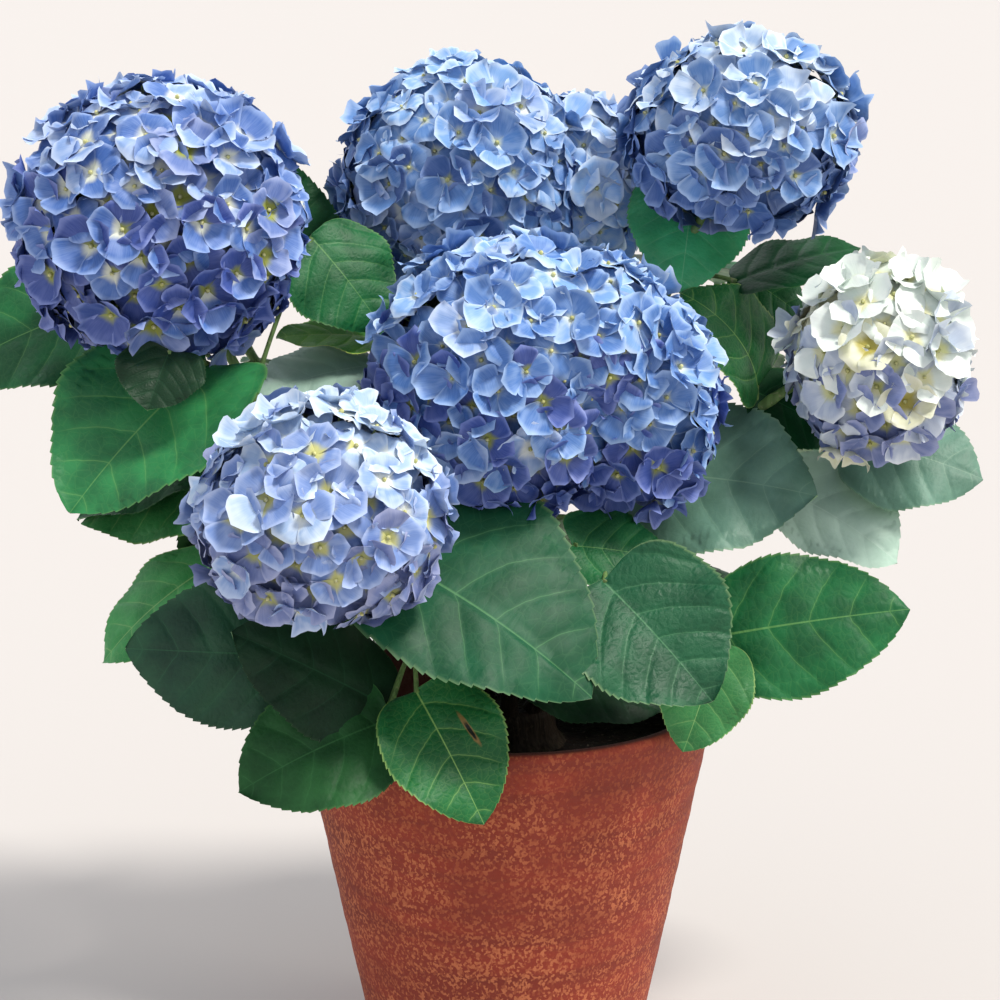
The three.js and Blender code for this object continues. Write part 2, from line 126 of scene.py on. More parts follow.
def strip(flat: Array) -> tuple[Array, Array]:
    """Left and right map corners of the faces between neighbouring columns."""
    return flat[..., :-1, :], flat[..., 1:, :]


# Meshes


@dataclass
class Skin:
    """Grids of points gathered into one mesh.

    A grid has rows along a surface and columns across it, or round it. Its faces look
    along the column direction crossed with the row direction.
    """

    points: list[Array] = field(default_factory=list)
    corners: list[Array] = field(default_factory=list)
    sides: list[Array] = field(default_factory=list)
    finishes: list[Array] = field(default_factory=list)
    maps: dict[str, list[Array]] = field(default_factory=dict)
    count: int = 0

    def grids(self, points: Array, maps: Maps | None = None, finish: Array | int = 0,
              closed: bool = False) -> None:
        """Adds a row of grids of equal size.

        Args:
            points: places in metres, shaped grids x rows x columns x 3.
            maps: for each map, the places of the faces' left and right corners, each
                shaped grids x rows x faces in a row x 2.
            finish: finish number of all faces, or an array that spreads over grids x rows x
                faces in a row. A cap takes that of the last face beside it.
            closed: whether the last column joins the first, with both ends capped.
        """
        grids, rows, columns = points.shape[:3]
        number = self.count + np.arange(grids * rows * columns).reshape(grids, rows, columns)
        right = np.roll(number, -1, axis=2) if closed else number[:, :, 1:]
        left = number if closed else number[:, :, :-1]
        quads = joined(left[:, :-1], right[:, :-1], right[:, 1:], left[:, 1:])
        self.points.append(points.reshape(-1, 3))
        self.count += points[..., 0].size
        finish = np.broadcast_to(finish, quads.shape[:3])
        self._faces(quads.reshape(-1, 4), finish.ravel())
        for name, (one, other) in (maps or {}).items():
            around = np.stack([one[:, :-1], other[:, :-1], other[:, 1:], one[:, 1:]], axis=-2)
            self.maps.setdefault(name, []).append(around.reshape(-1, 2))
        if closed:
            for ring, row in ((number[:, 0, ::-1], 0), (number[:, -1], -1)):
                self._faces(ring, finish[:, row, -1])
                for name, (one, _) in (maps or {}).items():
                    cap = one[:, row, ::-1] if row == 0 else one[:, row]
                    self.maps[name].append(cap.reshape(-1, 2))

    def _faces(self, corners: Array, finish: Array) -> None:
        """Notes faces of equally many corners, with their finish numbers."""
        self.corners.append(corners.ravel())
        self.sides.append(np.full(len(corners), corners.shape[1]))
        self.finishes.append(np.asarray(finish))

    def piece(self, name: str, finishes: list[bpy.types.Material], slot: str,
              stands_for: list[str], crease: float = 60.0) -> bpy.types.Object:
        """Makes the mesh and its object, which rides on the plant's body.

        Args:
            name: the piece's name.
            finishes: its materials, in the order of the finish numbers.
            slot: not used.
            stands_for: the nodes that it replaces.
            crease: the angle in degrees past which an edge looks sharp.

        Returns:
            The object, at the origin.
        """
        mesh = bpy.data.meshes.new(name)
        points = np.concatenate(self.points).astype(np.float32)
        corners = np.concatenate(self.corners).astype(np.int32)
        sides = np.concatenate(self.sides)
        starts = (np.cumsum(sides) - sides).astype(np.int32)
        mesh.vertices.add(len(points))
        mesh.vertices.foreach_set("co", points.ravel())
        mesh.loops.add(len(corners))
        mesh.loops.foreach_set("vertex_index", corners)
        mesh.polygons.add(len(sides))
        mesh.polygons.foreach_set("loop_start", starts)
        mesh.polygons.foreach_set("material_index",
                                  np.concatenate(self.finishes).astype(np.int32))
        mesh.polygons.foreach_set("use_smooth", np.ones(len(sides), bool))
        for label, parts in self.maps.items():
            layer = mesh.uv_layers.new(name=label)
            layer.data.foreach_set("uv", np.concatenate(parts).astype(np.float32).ravel())
        mesh.update(calc_edges=True)
        mesh.validate()
        mesh.set_sharp_from_angle(angle=radians(crease))
        for finish in finishes:
            mesh.materials.append(finish)
        made = placed(name, mesh)
        settle(made, stands_for)
        return made


def placed(name: str, data: bpy.types.ID) -> bpy.types.Object:
    """A new object in the scene."""
    made = bpy.data.objects.new(name, data)
    bpy.context.scene.collection.objects.link(made)
    return made


def settle(made: bpy.types.Object, stands_for: list[str]) -> None:
    """Lets a piece ride on the plant's body, hides the nodes it replaces and logs them."""
    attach(made, BODY)
    if stands_for:
        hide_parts(*stands_for)
    log.info("%s: %d faces, stands for %s", made.name, len(made.data.polygons), stands_for)


def square_to(way: Array, hint: Point) -> tuple[Array, Array]:
    """Two directions at right angles to each way and to one another, the first also to a hint."""
    right = unit(np.cross(way, np.array(hint)))
    return right, np.cross(way, right)


def full_turn(columns: int) -> Array:
    """Evenly spaced angles once round, without the last one, which is the first again."""
    return np.linspace(0, 2 * pi, columns, endpoint=False)


def hoop(right: Array, ahead: Array, angle: Array) -> Array:
    """For each pair of directions, those at each angle between them: pairs x angles x 3."""
    return (right[:, None] * np.cos(angle)[None, :, None]
            + ahead[:, None] * np.sin(angle)[None, :, None])


def turned(radius: Array, height: Array, angle: Array) -> Array:
    """Places at each radius, height and angle about the pot's axis."""
    return joined(radius * np.cos(angle), radius * np.sin(angle), height)


def tube(path: Array, radii: Array, columns: int, relief: Array | None = None) -> Array:
    """A round skin about a path: at each point a ring square to the path's direction.

    Args:
        path: points in millimetres, rows x 3.
        radii: the radius at each point.
        columns: points in a ring.
        relief: factors on the radius, rows x columns.

    Returns:
        Places in metres, 1 x rows x columns x 3.
    """
    along = unit(np.gradient(path, axis=0))
    ring = hoop(*square_to(along, (-1.0, -0.02, 0.0)), full_turn(columns))
    reach = radii[:, None] * (1 if relief is None else relief)
    return (path[:, None] + ring * reach[..., None])[None] * MM


def wrapped(rows: int, columns: int) -> tuple[Array, Array]:
    """Map corners of a closed grid: u goes once round and v from the first row to the last."""
    u, v = np.meshgrid(np.linspace(0, 1, columns + 1), np.linspace(0, 1, rows))
    return strip(joined(u, v)[None])


def turned_piece(name: str, points: Array, finish: bpy.types.Material, slot: str, node: str,
                 crease: float = 60.0) -> bpy.types.Object:
    """One closed grid, rows x columns in millimetres, as a piece that stands for one node."""
    skin = Skin()
    skin.grids(points[None] * MM, {"OFBake": wrapped(*points.shape[:2])}, closed=True)
    return skin.piece(name, [finish], slot, [node], crease)


# Finishes


@dataclass
class Graph:
    """Short ways to add nodes to a material or a group."""

    tree: bpy.types.NodeTree

    def feed(self, socket: bpy.types.NodeSocket, value: object) -> None:
        """Links a socket's output, or sets a plain value."""
        if isinstance(value, bpy.types.NodeSocket):
            self.tree.links.new(value, socket)
        else:
            socket.default_value = value

    def add(self, kind: str, settings: dict | None = None, **inputs: object) -> bpy.types.Node:
        """Adds a node, with its settings and its inputs by name."""
        node = self.tree.nodes.new(kind)
        for key, value in (settings or {}).items():
            setattr(node, key, value)
        for key, value in inputs.items():
            self.feed(node.inputs[key.replace("_", " ")], value)
        return node

    def math(self, operation: str, *values: object) -> bpy.types.NodeSocket:
        """One sum of one to three values."""
        node = self.add("ShaderNodeMath", {"operation": operation})
        for socket, value in zip(node.inputs, values):
            self.feed(socket, value)
        return node.outputs[0]

    def plus(self, first: object, second: object) -> bpy.types.NodeSocket:
        """First + second."""
        return self.math("ADD", first, second)

    def minus(self, first: object, second: object) -> bpy.types.NodeSocket:
        """First - second."""
        return self.math("SUBTRACT", first, second)

    def times(self, first: object, second: object) -> bpy.types.NodeSocket:
        """First x second."""
        return self.math("MULTIPLY", first, second)

    def line(self, value: object, slope: object, start: object) -> bpy.types.NodeSocket:
        """Value x slope + start."""
        return self.math("MULTIPLY_ADD", value, slope, start)

    def most(self, first: object, second: object) -> bpy.types.NodeSocket:
        """The greater of two values."""
        return self.math("MAXIMUM", first, second)

    def size(self, value: object) -> bpy.types.NodeSocket:
        """A value without its sign."""
        return self.math("ABSOLUTE", value)

    def place(self) -> bpy.types.NodeSocket:
        """Coordinates in metres on the object."""
        return self.add("ShaderNodeTexCoord").outputs["Object"]

    def uv(self, label: str) -> bpy.types.NodeSocket:
        """Coordinates on a map."""
        return self.add("ShaderNodeUVMap", {"uv_map": label}).outputs[0]

    def parts(self, where: object) -> tuple[bpy.types.NodeSocket, ...]:
        """The x, y and z of coordinates."""
        return tuple(self.add("ShaderNodeSeparateXYZ", Vector=where).outputs)

    def ease(self, value: object, low: float, high: float, start: float = 0.0,
             end: float = 1.0) -> bpy.types.NodeSocket:
        """Smooth step from start at low to end at high."""
        node = self.add("ShaderNodeMapRange", {"interpolation_type": "SMOOTHSTEP"}, Value=value,
                        From_Min=low, From_Max=high, To_Min=start, To_Max=end)
        return node.outputs[0]

    def blend(self, share: object, first: object, second: object) -> bpy.types.NodeSocket:
        """Colour that goes from first to second."""
        node = self.add("ShaderNodeMix", {"data_type": "RGBA"})
        for index, value in ((0, share), (6, first), (7, second)):
            self.feed(node.inputs[index], value)
        return node.outputs[2]

    def noise(self, where: object, scale: float, detail: float = 2.0,
              roughness: float = 0.5) -> bpy.types.NodeSocket:
        """Cloudy noise about 0.5."""
        node = self.add("ShaderNodeTexNoise", Vector=where, Scale=scale, Detail=detail,
                        Roughness=roughness)
        return node.outputs[0]

    def grains(self, where: object, scale: float) -> bpy.types.NodeSocket:
        """A number from 0 to 1 for each small cell."""
        node = self.add("ShaderNodeTexVoronoi", {"feature": "F1"}, Vector=where, Scale=scale)
        return self.add("ShaderNodeSeparateColor", Color=node.outputs["Color"]).outputs[0]

    def net(self, where: object, scale: float) -> bpy.types.NodeSocket:
        """Distance to the walls of irregular cells."""
        node = self.add("ShaderNodeTexVoronoi", {"feature": "DISTANCE_TO_EDGE"}, Vector=where,
                        Scale=scale)
        return node.outputs["Distance"]

    def warped(self, where: object, scale: float, reach: float) -> bpy.types.NodeSocket:
        """Coordinates pushed about by a cloudy noise."""
        push = self.add("ShaderNodeTexNoise", Vector=where, Scale=scale, Detail=1.0)
        node = self.add("ShaderNodeVectorMath", {"operation": "MULTIPLY_ADD"})
        for socket, value in zip(node.inputs, (push.outputs["Color"], (reach,) * 3, where)):
            self.feed(socket, value)
        return node.outputs["Vector"]

    def stretched(self, where: object, scale: Point) -> bpy.types.NodeSocket:
        """Coordinates multiplied by a factor for each axis."""
        return self.add("ShaderNodeMapping", Vector=where, Scale=scale).outputs[0]


def group(name: str, inputs: dict[str, object], outputs: dict[str, str]) -> Graph:
    """An empty node group with its sockets.

    Args:
        name: the group's name.
        inputs: socket names with their default values: a colour or a number.
        outputs: socket names with their kinds, Color or Float.
    """
    tree = bpy.data.node_groups.new(name, "ShaderNodeTree")
    for label, value in inputs.items():
        kind = "Color" if isinstance(value, tuple) else "Float"
        socket = tree.interface.new_socket(label, in_out="INPUT",
                                           socket_type="NodeSocket" + kind)
        socket.default_value = value
    for label, kind in outputs.items():
        tree.interface.new_socket(label, in_out="OUTPUT", socket_type="NodeSocket" + kind)
    tree.nodes.new("NodeGroupInput")
    tree.nodes.new("NodeGroupOutput")
    return Graph(tree)


def finish_group(graph: Graph, **values: bpy.types.NodeSocket) -> bpy.types.NodeTree:
    """Joins values to the group's outputs and returns the group."""
    end = next(node for node in graph.tree.nodes if node.bl_idname == "NodeGroupOutput")
    for label, value in values.items():
        graph.tree.links.new(value, end.inputs[label.replace("_", " ")])
    return graph.tree


def inlets(graph: Graph) -> bpy.types.bpy_prop_collection:
    """The values that come into a group, by name."""
    return next(n for n in graph.tree.nodes if n.bl_idname == "NodeGroupInput").outputs


def surface(name: str, tree: bpy.types.NodeTree, values: dict[str, object], bump: float,
            depth: float, **shader: float) -> bpy.types.Material:
    """A material whose colour, roughness and relief come from a group.

    Args:
        name: the material's name.
        tree: a group with the outputs Colour, Roughness and Height.
        values: the group's input values.
        bump: strength of the relief.
        depth: height of the relief in metres.
        shader: plain values for the surface shader's own sockets.
    """
    material = bpy.data.materials.new(name)
    material.use_nodes = True
    graph = Graph(material.node_tree)
    shade = material.node_tree.nodes["Principled BSDF"]
    pattern = graph.add("ShaderNodeGroup", {"node_tree": tree})
    for label, value in values.items():
        pattern.inputs[label].default_value = value
    relief = graph.add("ShaderNodeBump", Height=pattern.outputs["Height"], Strength=bump,
                       Distance=depth)
    graph.feed(shade.inputs["Base Color"], pattern.outputs["Colour"])
    graph.feed(shade.inputs["Roughness"], pattern.outputs["Roughness"])
    graph.feed(shade.inputs["Normal"], relief.outputs[0])
    for label, value in shader.items():
        shade.inputs[label.replace("_", " ")].default_value = value
    return material


PATTERN_OUT = {"Colour": "Color", "Roughness": "Float", "Height": "Float"}
SIDE_VEINS = 5.0
VEIN_SLOPE = 0.045
VEIN_BOW = 0.008
SLIT_AT = (-1.85, 4.0)


def leaf_group() -> bpy.types.NodeTree:
    """Leaf pattern: a pale midrib, arching side veins, a net between them and a rim.

    The map "leaf" has the share across in u, 0 to 1, and the share along in v. The map
    "span" has the same places in tenths of the blade's length: x is the way out from the
    midrib and y the way along. A side vein runs where the share along, less slope x and bow
    x squared, times the number of veins, is a whole number and a half.
    """
    graph = group("leaf_veins", {
        "Blade": paint("2f7a4a"), "Shade": paint("1f5a38"), "Vein": paint("a9c978"),
        "Edge": paint("9fc46a"), "Edge Amount": 0.4, "Vein Amount": 0.8,
        # Slit is near black: painted shade seen through the tear.
        "Slit Amount": 0.0, "Slit": paint("0c140e"), "Slit Edge": paint("86683a"),
    }, PATTERN_OUT)
    given = inlets(graph)
    span, place = graph.uv("span"), graph.place()
    side, along, _ = graph.parts(graph.uv("leaf"))
    across = graph.size(graph.line(side, 2.0, -1.0))
    middle = graph.size(graph.parts(span)[0])
    bow = graph.times(middle, graph.line(middle, VEIN_BOW, VEIN_SLOPE))
    wobble = graph.line(graph.noise(span, 0.9), 0.03, -0.015)
    phase = graph.times(graph.plus(graph.minus(along, bow), wobble), SIDE_VEINS)
    gap = graph.size(graph.minus(graph.math("FRACT", phase), 0.5))
    fading = graph.ease(across, 0.5, 1.0, 1.0, 0.1)
    side_line = graph.times(graph.ease(gap, 0.004, 0.02, 0.6, 0.0), fading)
    side_glow = graph.times(graph.ease(gap, 0.01, 0.09, 0.14, 0.0), fading)
    thin = graph.line(along, -0.05, 0.065)
    rib = graph.ease(graph.minus(middle, thin), -0.03, 0.025, 0.9, 0.0)
    cells = graph.net(graph.stretched(span, (1.0, 1.3, 1.0)), 1.9)
    fine = graph.net(span, 5.5)
    lace = graph.most(graph.ease(cells, 0.0, 0.06, 0.13, 0.0),
                      graph.ease(fine, 0.0, 0.06, 0.04, 0.0))
    vein = graph.most(graph.most(rib, side_line), graph.most(lace, side_glow))
    clouds = graph.ease(graph.noise(place, 38.0, 3.0), 0.35, 0.68)
    body = graph.blend(clouds, given["Blade"], given["Shade"])
    body = graph.blend(graph.ease(gap, 0.08, 0.45, 0.0, 0.22), body, given["Shade"])
    veined = graph.blend(graph.times(vein, given["Vein Amount"]), body, given["Vein"])
    rim = graph.times(graph.ease(across, 0.955, 1.0), given["Edge Amount"])
    colour = torn(graph, graph.blend(rim, veined, given["Edge"]), span, along)
    rough = graph.line(graph.noise(place, 60.0), 0.2, 0.4)
    swell = graph.ease(gap, 0.0, 0.2)
    pad = graph.times(graph.ease(cells, 0.0, 0.4), 0.45)
    height = graph.plus(graph.plus(swell, pad), graph.times(graph.ease(fine, 0.0, 0.3), 0.1))
    return finish_group(graph, Colour=colour, Roughness=rough, Height=height)


def torn(graph: Graph, colour: bpy.types.NodeSocket, span: bpy.types.NodeSocket,
         along: bpy.types.NodeSocket) -> bpy.types.NodeSocket:
    """A leaf's colour with a brown-edged slit over it: a wavy, leaning ellipse about SLIT_AT. The
    slit's middle is painted near black, as the shade seen through the tear.
    """
    given = inlets(graph)
    down = graph.line(along, 10.0, -SLIT_AT[1])
    aside = graph.plus(graph.line(down, 0.13, -SLIT_AT[0]), graph.parts(span)[0])
    aside = graph.line(graph.noise(span, 1.6), 0.14, graph.minus(aside, 0.07))
    squares = [graph.math("POWER", graph.times(way, share), 2.0)
               for way, share in ((aside, 4.6), (down, 0.7))]
    slit = graph.math("SQRT", graph.plus(*squares))
    scar = graph.times(graph.ease(slit, 0.7, 1.1, 0.85, 0.0), given["Slit Amount"])
    # Painted shade: the middle of the tear is near black.
    painted_tear_shade = graph.times(graph.ease(slit, 0.5, 0.7, 1.0, 0.0), given["Slit Amount"])
    painted_tear_shade = graph.times(painted_tear_shade, graph.ease(down, -0.7, -0.2))
    return graph.blend(painted_tear_shade, graph.blend(scar, colour, given["Slit Edge"]), given["Slit"])


def petal_group() -> bpy.types.NodeTree:
    """Petal pattern: a pale throat, a body with fine lines running out, and a pale rim.

    The map "petal" has the share across in the fraction of u, with a whole number that
    picks the variation, and the share along in v.
    """
    graph = group("petal_lines", {
        "Throat": paint("f2f2e6"), "Body": paint("5f78c8"), "Rim": paint("c9d4f2"),
        "Throat Size": 0.3, "Rim Amount": 0.5, "Pale": 0.3,
    }, PATTERN_OUT)
    given = inlets(graph)
    where = graph.uv("petal")
    side, along, _ = graph.parts(where)
    across = graph.size(graph.line(graph.math("FRACT", side), 2.0, -1.0))
    cloud = graph.noise(graph.stretched(where, (2.6, 1.6, 1.0)), 1.0, 1.0)
    lines = graph.noise(graph.stretched(where, (26.0, 1.6, 1.0)), 1.0, 2.0)
    reach = graph.minus(graph.line(cloud, 0.25, along), given["Throat Size"])
    throat = graph.ease(reach, -0.02, 0.26, 1.0, 0.0)
    rim = graph.most(graph.ease(along, 0.8, 1.0), graph.ease(across, 0.8, 1.0))
    rim = graph.times(rim, given["Rim Amount"])
    wash = graph.times(graph.ease(cloud, 0.42, 0.66), given["Pale"])
    streak = graph.line(graph.ease(lines, 0.35, 0.65), 0.12, -0.02)
    body = graph.blend(graph.plus(wash, streak), given["Body"], given["Rim"])
    colour = graph.blend(throat, graph.blend(rim, body, given["Rim"]), given["Throat"])
    rough = graph.line(lines, 0.2, 0.42)
    return finish_group(graph, Colour=colour, Roughness=rough, Height=lines)


POT_HEIGHT = 250.0
POT_RIM_RADIUS = 136.5
POT_FOOT_RADIUS = 86.5
POT_SLOPE = (POT_RIM_RADIUS - POT_FOOT_RADIUS) / POT_HEIGHT


def clay_group() -> bpy.types.NodeTree:
    """Fired clay: red and dark clouds, tan flecks that thin out upwards, and a dark inside,
    painted as damp and as shade.

    The inside is where a place lies deeper than 2 mm under the outer cone.
    """
    graph = group("fired_clay", {
        "Clay": paint("92321c"), "Dark": paint("702413"), "Pale": paint("ca784e"),
        "Damp": paint("4c1d14"), "Fleck Amount": 0.74,
    }, PATTERN_OUT)
    given = inlets(graph)
    place = graph.place()
    large = graph.noise(graph.stretched(place, (1.0, 1.0, 2.0)), 12.0, 3.0)
    bands = graph.noise(graph.stretched(place, (0.2, 0.2, 6.0)), 22.0, 3.0)
    flecks = graph.grains(graph.stretched(graph.warped(place, 420.0, 0.0025),
                                          (1.0, 1.0, 0.75)), 680.0)
    patches = graph.ease(graph.noise(place, 16.0, 3.0), 0.3, 0.6, 0.35, 1.0)
    grain = graph.noise(place, 1400.0, 2.0)
    body = graph.blend(graph.ease(large, 0.36, 0.66, 0.1, 0.6), given["Clay"], given["Dark"])
    body = graph.blend(graph.ease(bands, 0.45, 0.65, 0.0, 0.45), body, given["Dark"])
    high = graph.parts(place)[2]
    mark = graph.times(graph.ease(flecks, 0.48, 0.9), patches)
    mark = graph.times(mark, graph.ease(high, 0.18, 0.24, 1.0, 0.55))
    mark = graph.times(mark, given["Fleck Amount"])
    body = graph.blend(mark, body, given["Pale"])
    body = graph.blend(graph.ease(grain, 0.6, 0.8, 0.0, 0.25), body, given["Dark"])
    ring = graph.add("ShaderNodeVectorMath", {"operation": "LENGTH"},
                     Vector=graph.stretched(place, (1.0, 1.0, 0.0))).outputs["Value"]
    depth = graph.minus(graph.line(high, POT_SLOPE, POT_FOOT_RADIUS * MM), ring)
    # Damp and painted shade: the inner wall and the inner part of the lip's top are darkened.
    damp_and_painted_shade = graph.times(graph.ease(depth, 0.002, 0.0045), graph.ease(high, 0.012, 0.03))
    colour = graph.blend(damp_and_painted_shade, body, given["Damp"])
    rough = graph.line(flecks, 0.2, 0.72)
    lift = graph.plus(graph.times(bands, 0.9),
                      graph.plus(graph.times(grain, 0.3), graph.times(flecks, 0.4)))
    return finish_group(graph, Colour=colour, Roughness=rough, Height=lift)


def fibre_group() -> bpy.types.NodeTree:
    """Bark and stems: long streaks of two colours with pale corky dots."""
    graph = group("stem_fibre", {
        "Skin": paint("6f8f4f"), "Streak": paint("4d6b3a"), "Dot": paint("b9a98a"),
        "Streak Amount": 0.7, "Dot Amount": 0.3,
    }, PATTERN_OUT)
    given = inlets(graph)
    place = graph.place()
    streaks = graph.noise(graph.stretched(place, (1.0, 1.0, 0.12)), 420.0, 3.0)
    dots = graph.noise(place, 300.0, 1.0)
    broad = graph.noise(place, 30.0, 2.0)
    share = graph.times(graph.ease(streaks, 0.4, 0.65), given["Streak Amount"])
    body = graph.blend(share, given["Skin"], given["Streak"])
    body = graph.blend(graph.ease(broad, 0.45, 0.7, 0.0, 0.5), body, given["Streak"])
    mark = graph.times(graph.ease(dots, 0.63, 0.7), given["Dot Amount"])
    colour = graph.blend(mark, body, given["Dot"])
    rough = graph.line(streaks, 0.3, 0.5)
    return finish_group(graph, Colour=colour, Roughness=rough, Height=streaks)


def crumb_group() -> bpy.types.NodeTree:
    """Potting soil: dark crumbs with brown fibres and a few pale grains. The crumbs are near
    black, partly the soil's own colour and partly painted shade under the leaves.
    """
    graph = group("soil_crumbs", {
        "Crumb": paint("0d0a09"), "Fibre": paint("1a1310"), "Grain": paint("484239"),
    }, PATTERN_OUT)
    given = inlets(graph)
    place = graph.place()
    crumbs = graph.noise(place, 190.0, 4.0, 0.7)
    grains = graph.noise(place, 420.0, 0.0)
    body = graph.blend(graph.ease(crumbs, 0.42, 0.68), given["Crumb"], given["Fibre"])
    colour = graph.blend(graph.ease(grains, 0.74, 0.78, 0.0, 0.7), body, given["Grain"])
    rough = graph.line(crumbs, 0.1, 0.88)
    return finish_group(graph, Colour=colour, Roughness=rough, Height=crumbs)


class LeafTint(Enum):
    """The plain colours of a leaf, then its edge amount, vein amount, relief and gloss. The lit
    tints are lighter copies that paint light on leaves in light, the shade tints are darker
    copies that paint shade, and the sheen tints paint the sheen of reflected light.
    """

    MID = ("1c6a3a", "13502c", "78ac60", "8fb865", 0.25, 0.55, 0.3, 0.25)
    # A lighter copy of MID: painted light on a leaf in light.
    MEADOW = ("2f804a", "21603a", "80b468", "8fb865", 0.25, 0.55, 0.3, 0.25)
    FRESH = ("1e6c36", "14562a", "94be68", "b2cf6e", 0.35, 0.75, 0.35, 0.35)
    TORN = ("1b6834", "125128", "94be68", "b2cf6e", 0.35, 0.75, 0.35, 0.3)
    # A lighter copy: painted light.
    LIT = ("3a8448", "286c38", "a0c87c", "b9d27a", 0.4, 0.6, 0.25, 0.35)
    # Lighter still: painted light.
    GLOW = ("469d58", "308044", "a8cc84", "b9d27a", 0.4, 0.6, 0.25, 0.35)
    # Yellow-green with a strong pale rim: painted light on a leaf and its rim.
    BRIGHT = ("5a9832", "3a7e30", "c4d678", "e0e878", 0.9, 0.6, 0.3, 0.35)
    SOFT = ("195638", "14482e", "5e9460", "a0bf84", 0.2, 0.6, 0.15, 0.2)
    # Lighter blue-green: painted light and sheen on a leaf that stands in shade.
    COOL = ("46ba7c", "369862", "98d0a4", "a0bf84", 0.2, 0.5, 0.3, 0.4)
    RIPPLED = ("1a5838", "12462c", "5e9468", "a0bf84", 0.3, 0.6, 0.5, 0.3)
    # Grey-green: painted sheen of reflected light.
    SHEEN = ("668f7c", "547a68", "8cb094", "a9c58a", 0.2, 0.5, 0.2, 0.35)
    # Pale grey-green: painted sheen of reflected light.
    SILVER = ("a8c6b6", "92b2a2", "bed6c8", "c0d6a6", 0.2, 0.5, 0.2, 0.7)
    DEEP = ("14502a", "0e3c20", "3c7644", "6f9a58", 0.2, 0.5, 0.25, 0.12)
    OLIVE = ("2a5c32", "1e4626", "47804c", "6f9a58", 0.2, 0.5, 0.25, 0.15)
    # A darker copy: painted shade.
    DUSK = ("235038", "193c2d", "37704c", "4f7450", 0.2, 0.5, 0.3, 0.3)
    # A darker copy: painted shade.
    DARK = ("193a24", "122c1b", "2d5c3e", "4a6c44", 0.15, 0.45, 0.25, 0.2)


@dataclass(frozen=True)
class LeafFinish:
    """The finish of a blade's upper face in one tint, or of its paler underside."""

    tree: bpy.types.NodeTree
    tint: LeafTint | None = None

    def material(self) -> bpy.types.Material:
        """Makes the finish."""
        if self.tint is None:
            values = {"Blade": paint("6f9a6a"), "Shade": paint("557f55"),
                      "Vein": paint("b5c98f"), "Edge": paint("8fae6a"), "Edge Amount": 0.2,
                      "Vein Amount": 0.9}
            return surface("leaf_underside", self.tree, values, -0.4, 0.001)
        blade, shade, vein, edge, rim, veins, relief, gloss = self.tint.value
        values = {"Blade": paint(blade), "Shade": paint(shade), "Vein": paint(vein),
                  "Edge": paint(edge), "Edge Amount": rim, "Vein Amount": veins,
                  "Slit Amount": float(self.tint is LeafTint.TORN)}
        return surface(f"leaf_{self.tint.name.lower()}", self.tree, values, relief, 0.001,
                       Specular_IOR_Level=gloss)


class PetalTint(Enum):
    """Petal colours: throat, body, rim, then throat size, rim amount and pale wash. A head's
    pale, middle and deep tints are dealt by how its sepals face the light, so besides the head's
    own colour they paint light and shade.
    """

    VIOLET_BLUE = ("dfe4d2", "4169b0", "9fb8e6", 0.29, 0.7, 0.2)
    DEEP_VIOLET = ("98a04c", "344c96", "8a9ad6", 0.22, 0.6, 0.12)
    PALE_BLUE = ("e4eae6", "7c9cd0", "c6d6f0", 0.3, 0.75, 0.45)
    OLIVE_BLUE = ("949c40", "5872b0", "a6b4dc", 0.34, 0.65, 0.3)
    PERIWINKLE = ("ced8c6", "4a77ba", "a6c3ea", 0.12, 0.75, 0.28)
    ICE = ("e4ecea", "9ab6da", "d6e4f4", 0.3, 0.8, 0.6)
    STEEL = ("d8e2d0", "5482c0", "b0caec", 0.16, 0.75, 0.3)
    SKY = ("dee8e0", "72a0d8", "c8dcf2", 0.2, 0.8, 0.45)
    # A lighter sky blue that paints light onto a lobe in shade.
    GLACIER = ("e0ecee", "90bcf0", "dcecfc", 0.14, 0.8, 0.45)
    DEEP_BLUE = ("a9b070", "3c5e9c", "92aad6", 0.12, 0.65, 0.15)
    LAVENDER = ("cccc84", "6c8ac6", "b4c6ea", 0.3, 0.7, 0.4)
    LILAC_GREY = ("b4b870", "6a7aae", "a9b1d4", 0.26, 0.6, 0.35)
    SNOW = ("e8e6b8", "dee9e3", "f0f6f0", 0.3, 0.7, 0.6)
    PEARL = ("d6d89c", "aebbd0", "dce4ea", 0.3, 0.7, 0.5)
    BUTTER = ("b4aa52", "d6d8b8", "e6e8d6", 0.36, 0.6, 0.5)


@dataclass(frozen=True)
class PetalFinish:
    """The finish of sepals in one tint."""

    tree: bpy.types.NodeTree
    tint: PetalTint

    def material(self) -> bpy.types.Material:
        """Makes the finish."""
        throat, body, rim, size, amount, pale = self.tint.value
        values = {"Throat": paint(throat), "Body": paint(body), "Rim": paint(rim),
                  "Throat Size": size, "Rim Amount": amount, "Pale": pale}
        return surface(f"petal_{self.tint.name.lower()}", self.tree, values, 0.25, 0.0006)


class Fibre(Enum):
    """Colours of skin, streaks and dots, then streak and dot amount, relief, depth and gloss."""

    # Nearly black: dark wet bark, with the shade down in the pot painted in as well.
    HYDRANGEA_BARK = ("251d16", "15100b", "372e25", 0.9, 0.4, 0.9, 0.0015, 0.1)
    GREEN_STEM = ("6f8f4f", "4d6b3a", "b9a98a", 0.7, 0.3, 0.3, 0.0005, 0.5)
    FLOWER_STALK = ("8fa36a", "6f8350", "b0b78a", 0.5, 0.2, 0.2, 0.0004, 0.5)
    FLOWER_HEART = ("5f7f42", "2f4a30", "6f8f4a", 0.8, 0.3, 0.4, 0.001, 0.5)
    FLOWER_BEAD = ("d8d79a", "9fa052", "f0efd0", 0.6, 0.5, 0.2, 0.0003, 0.5)


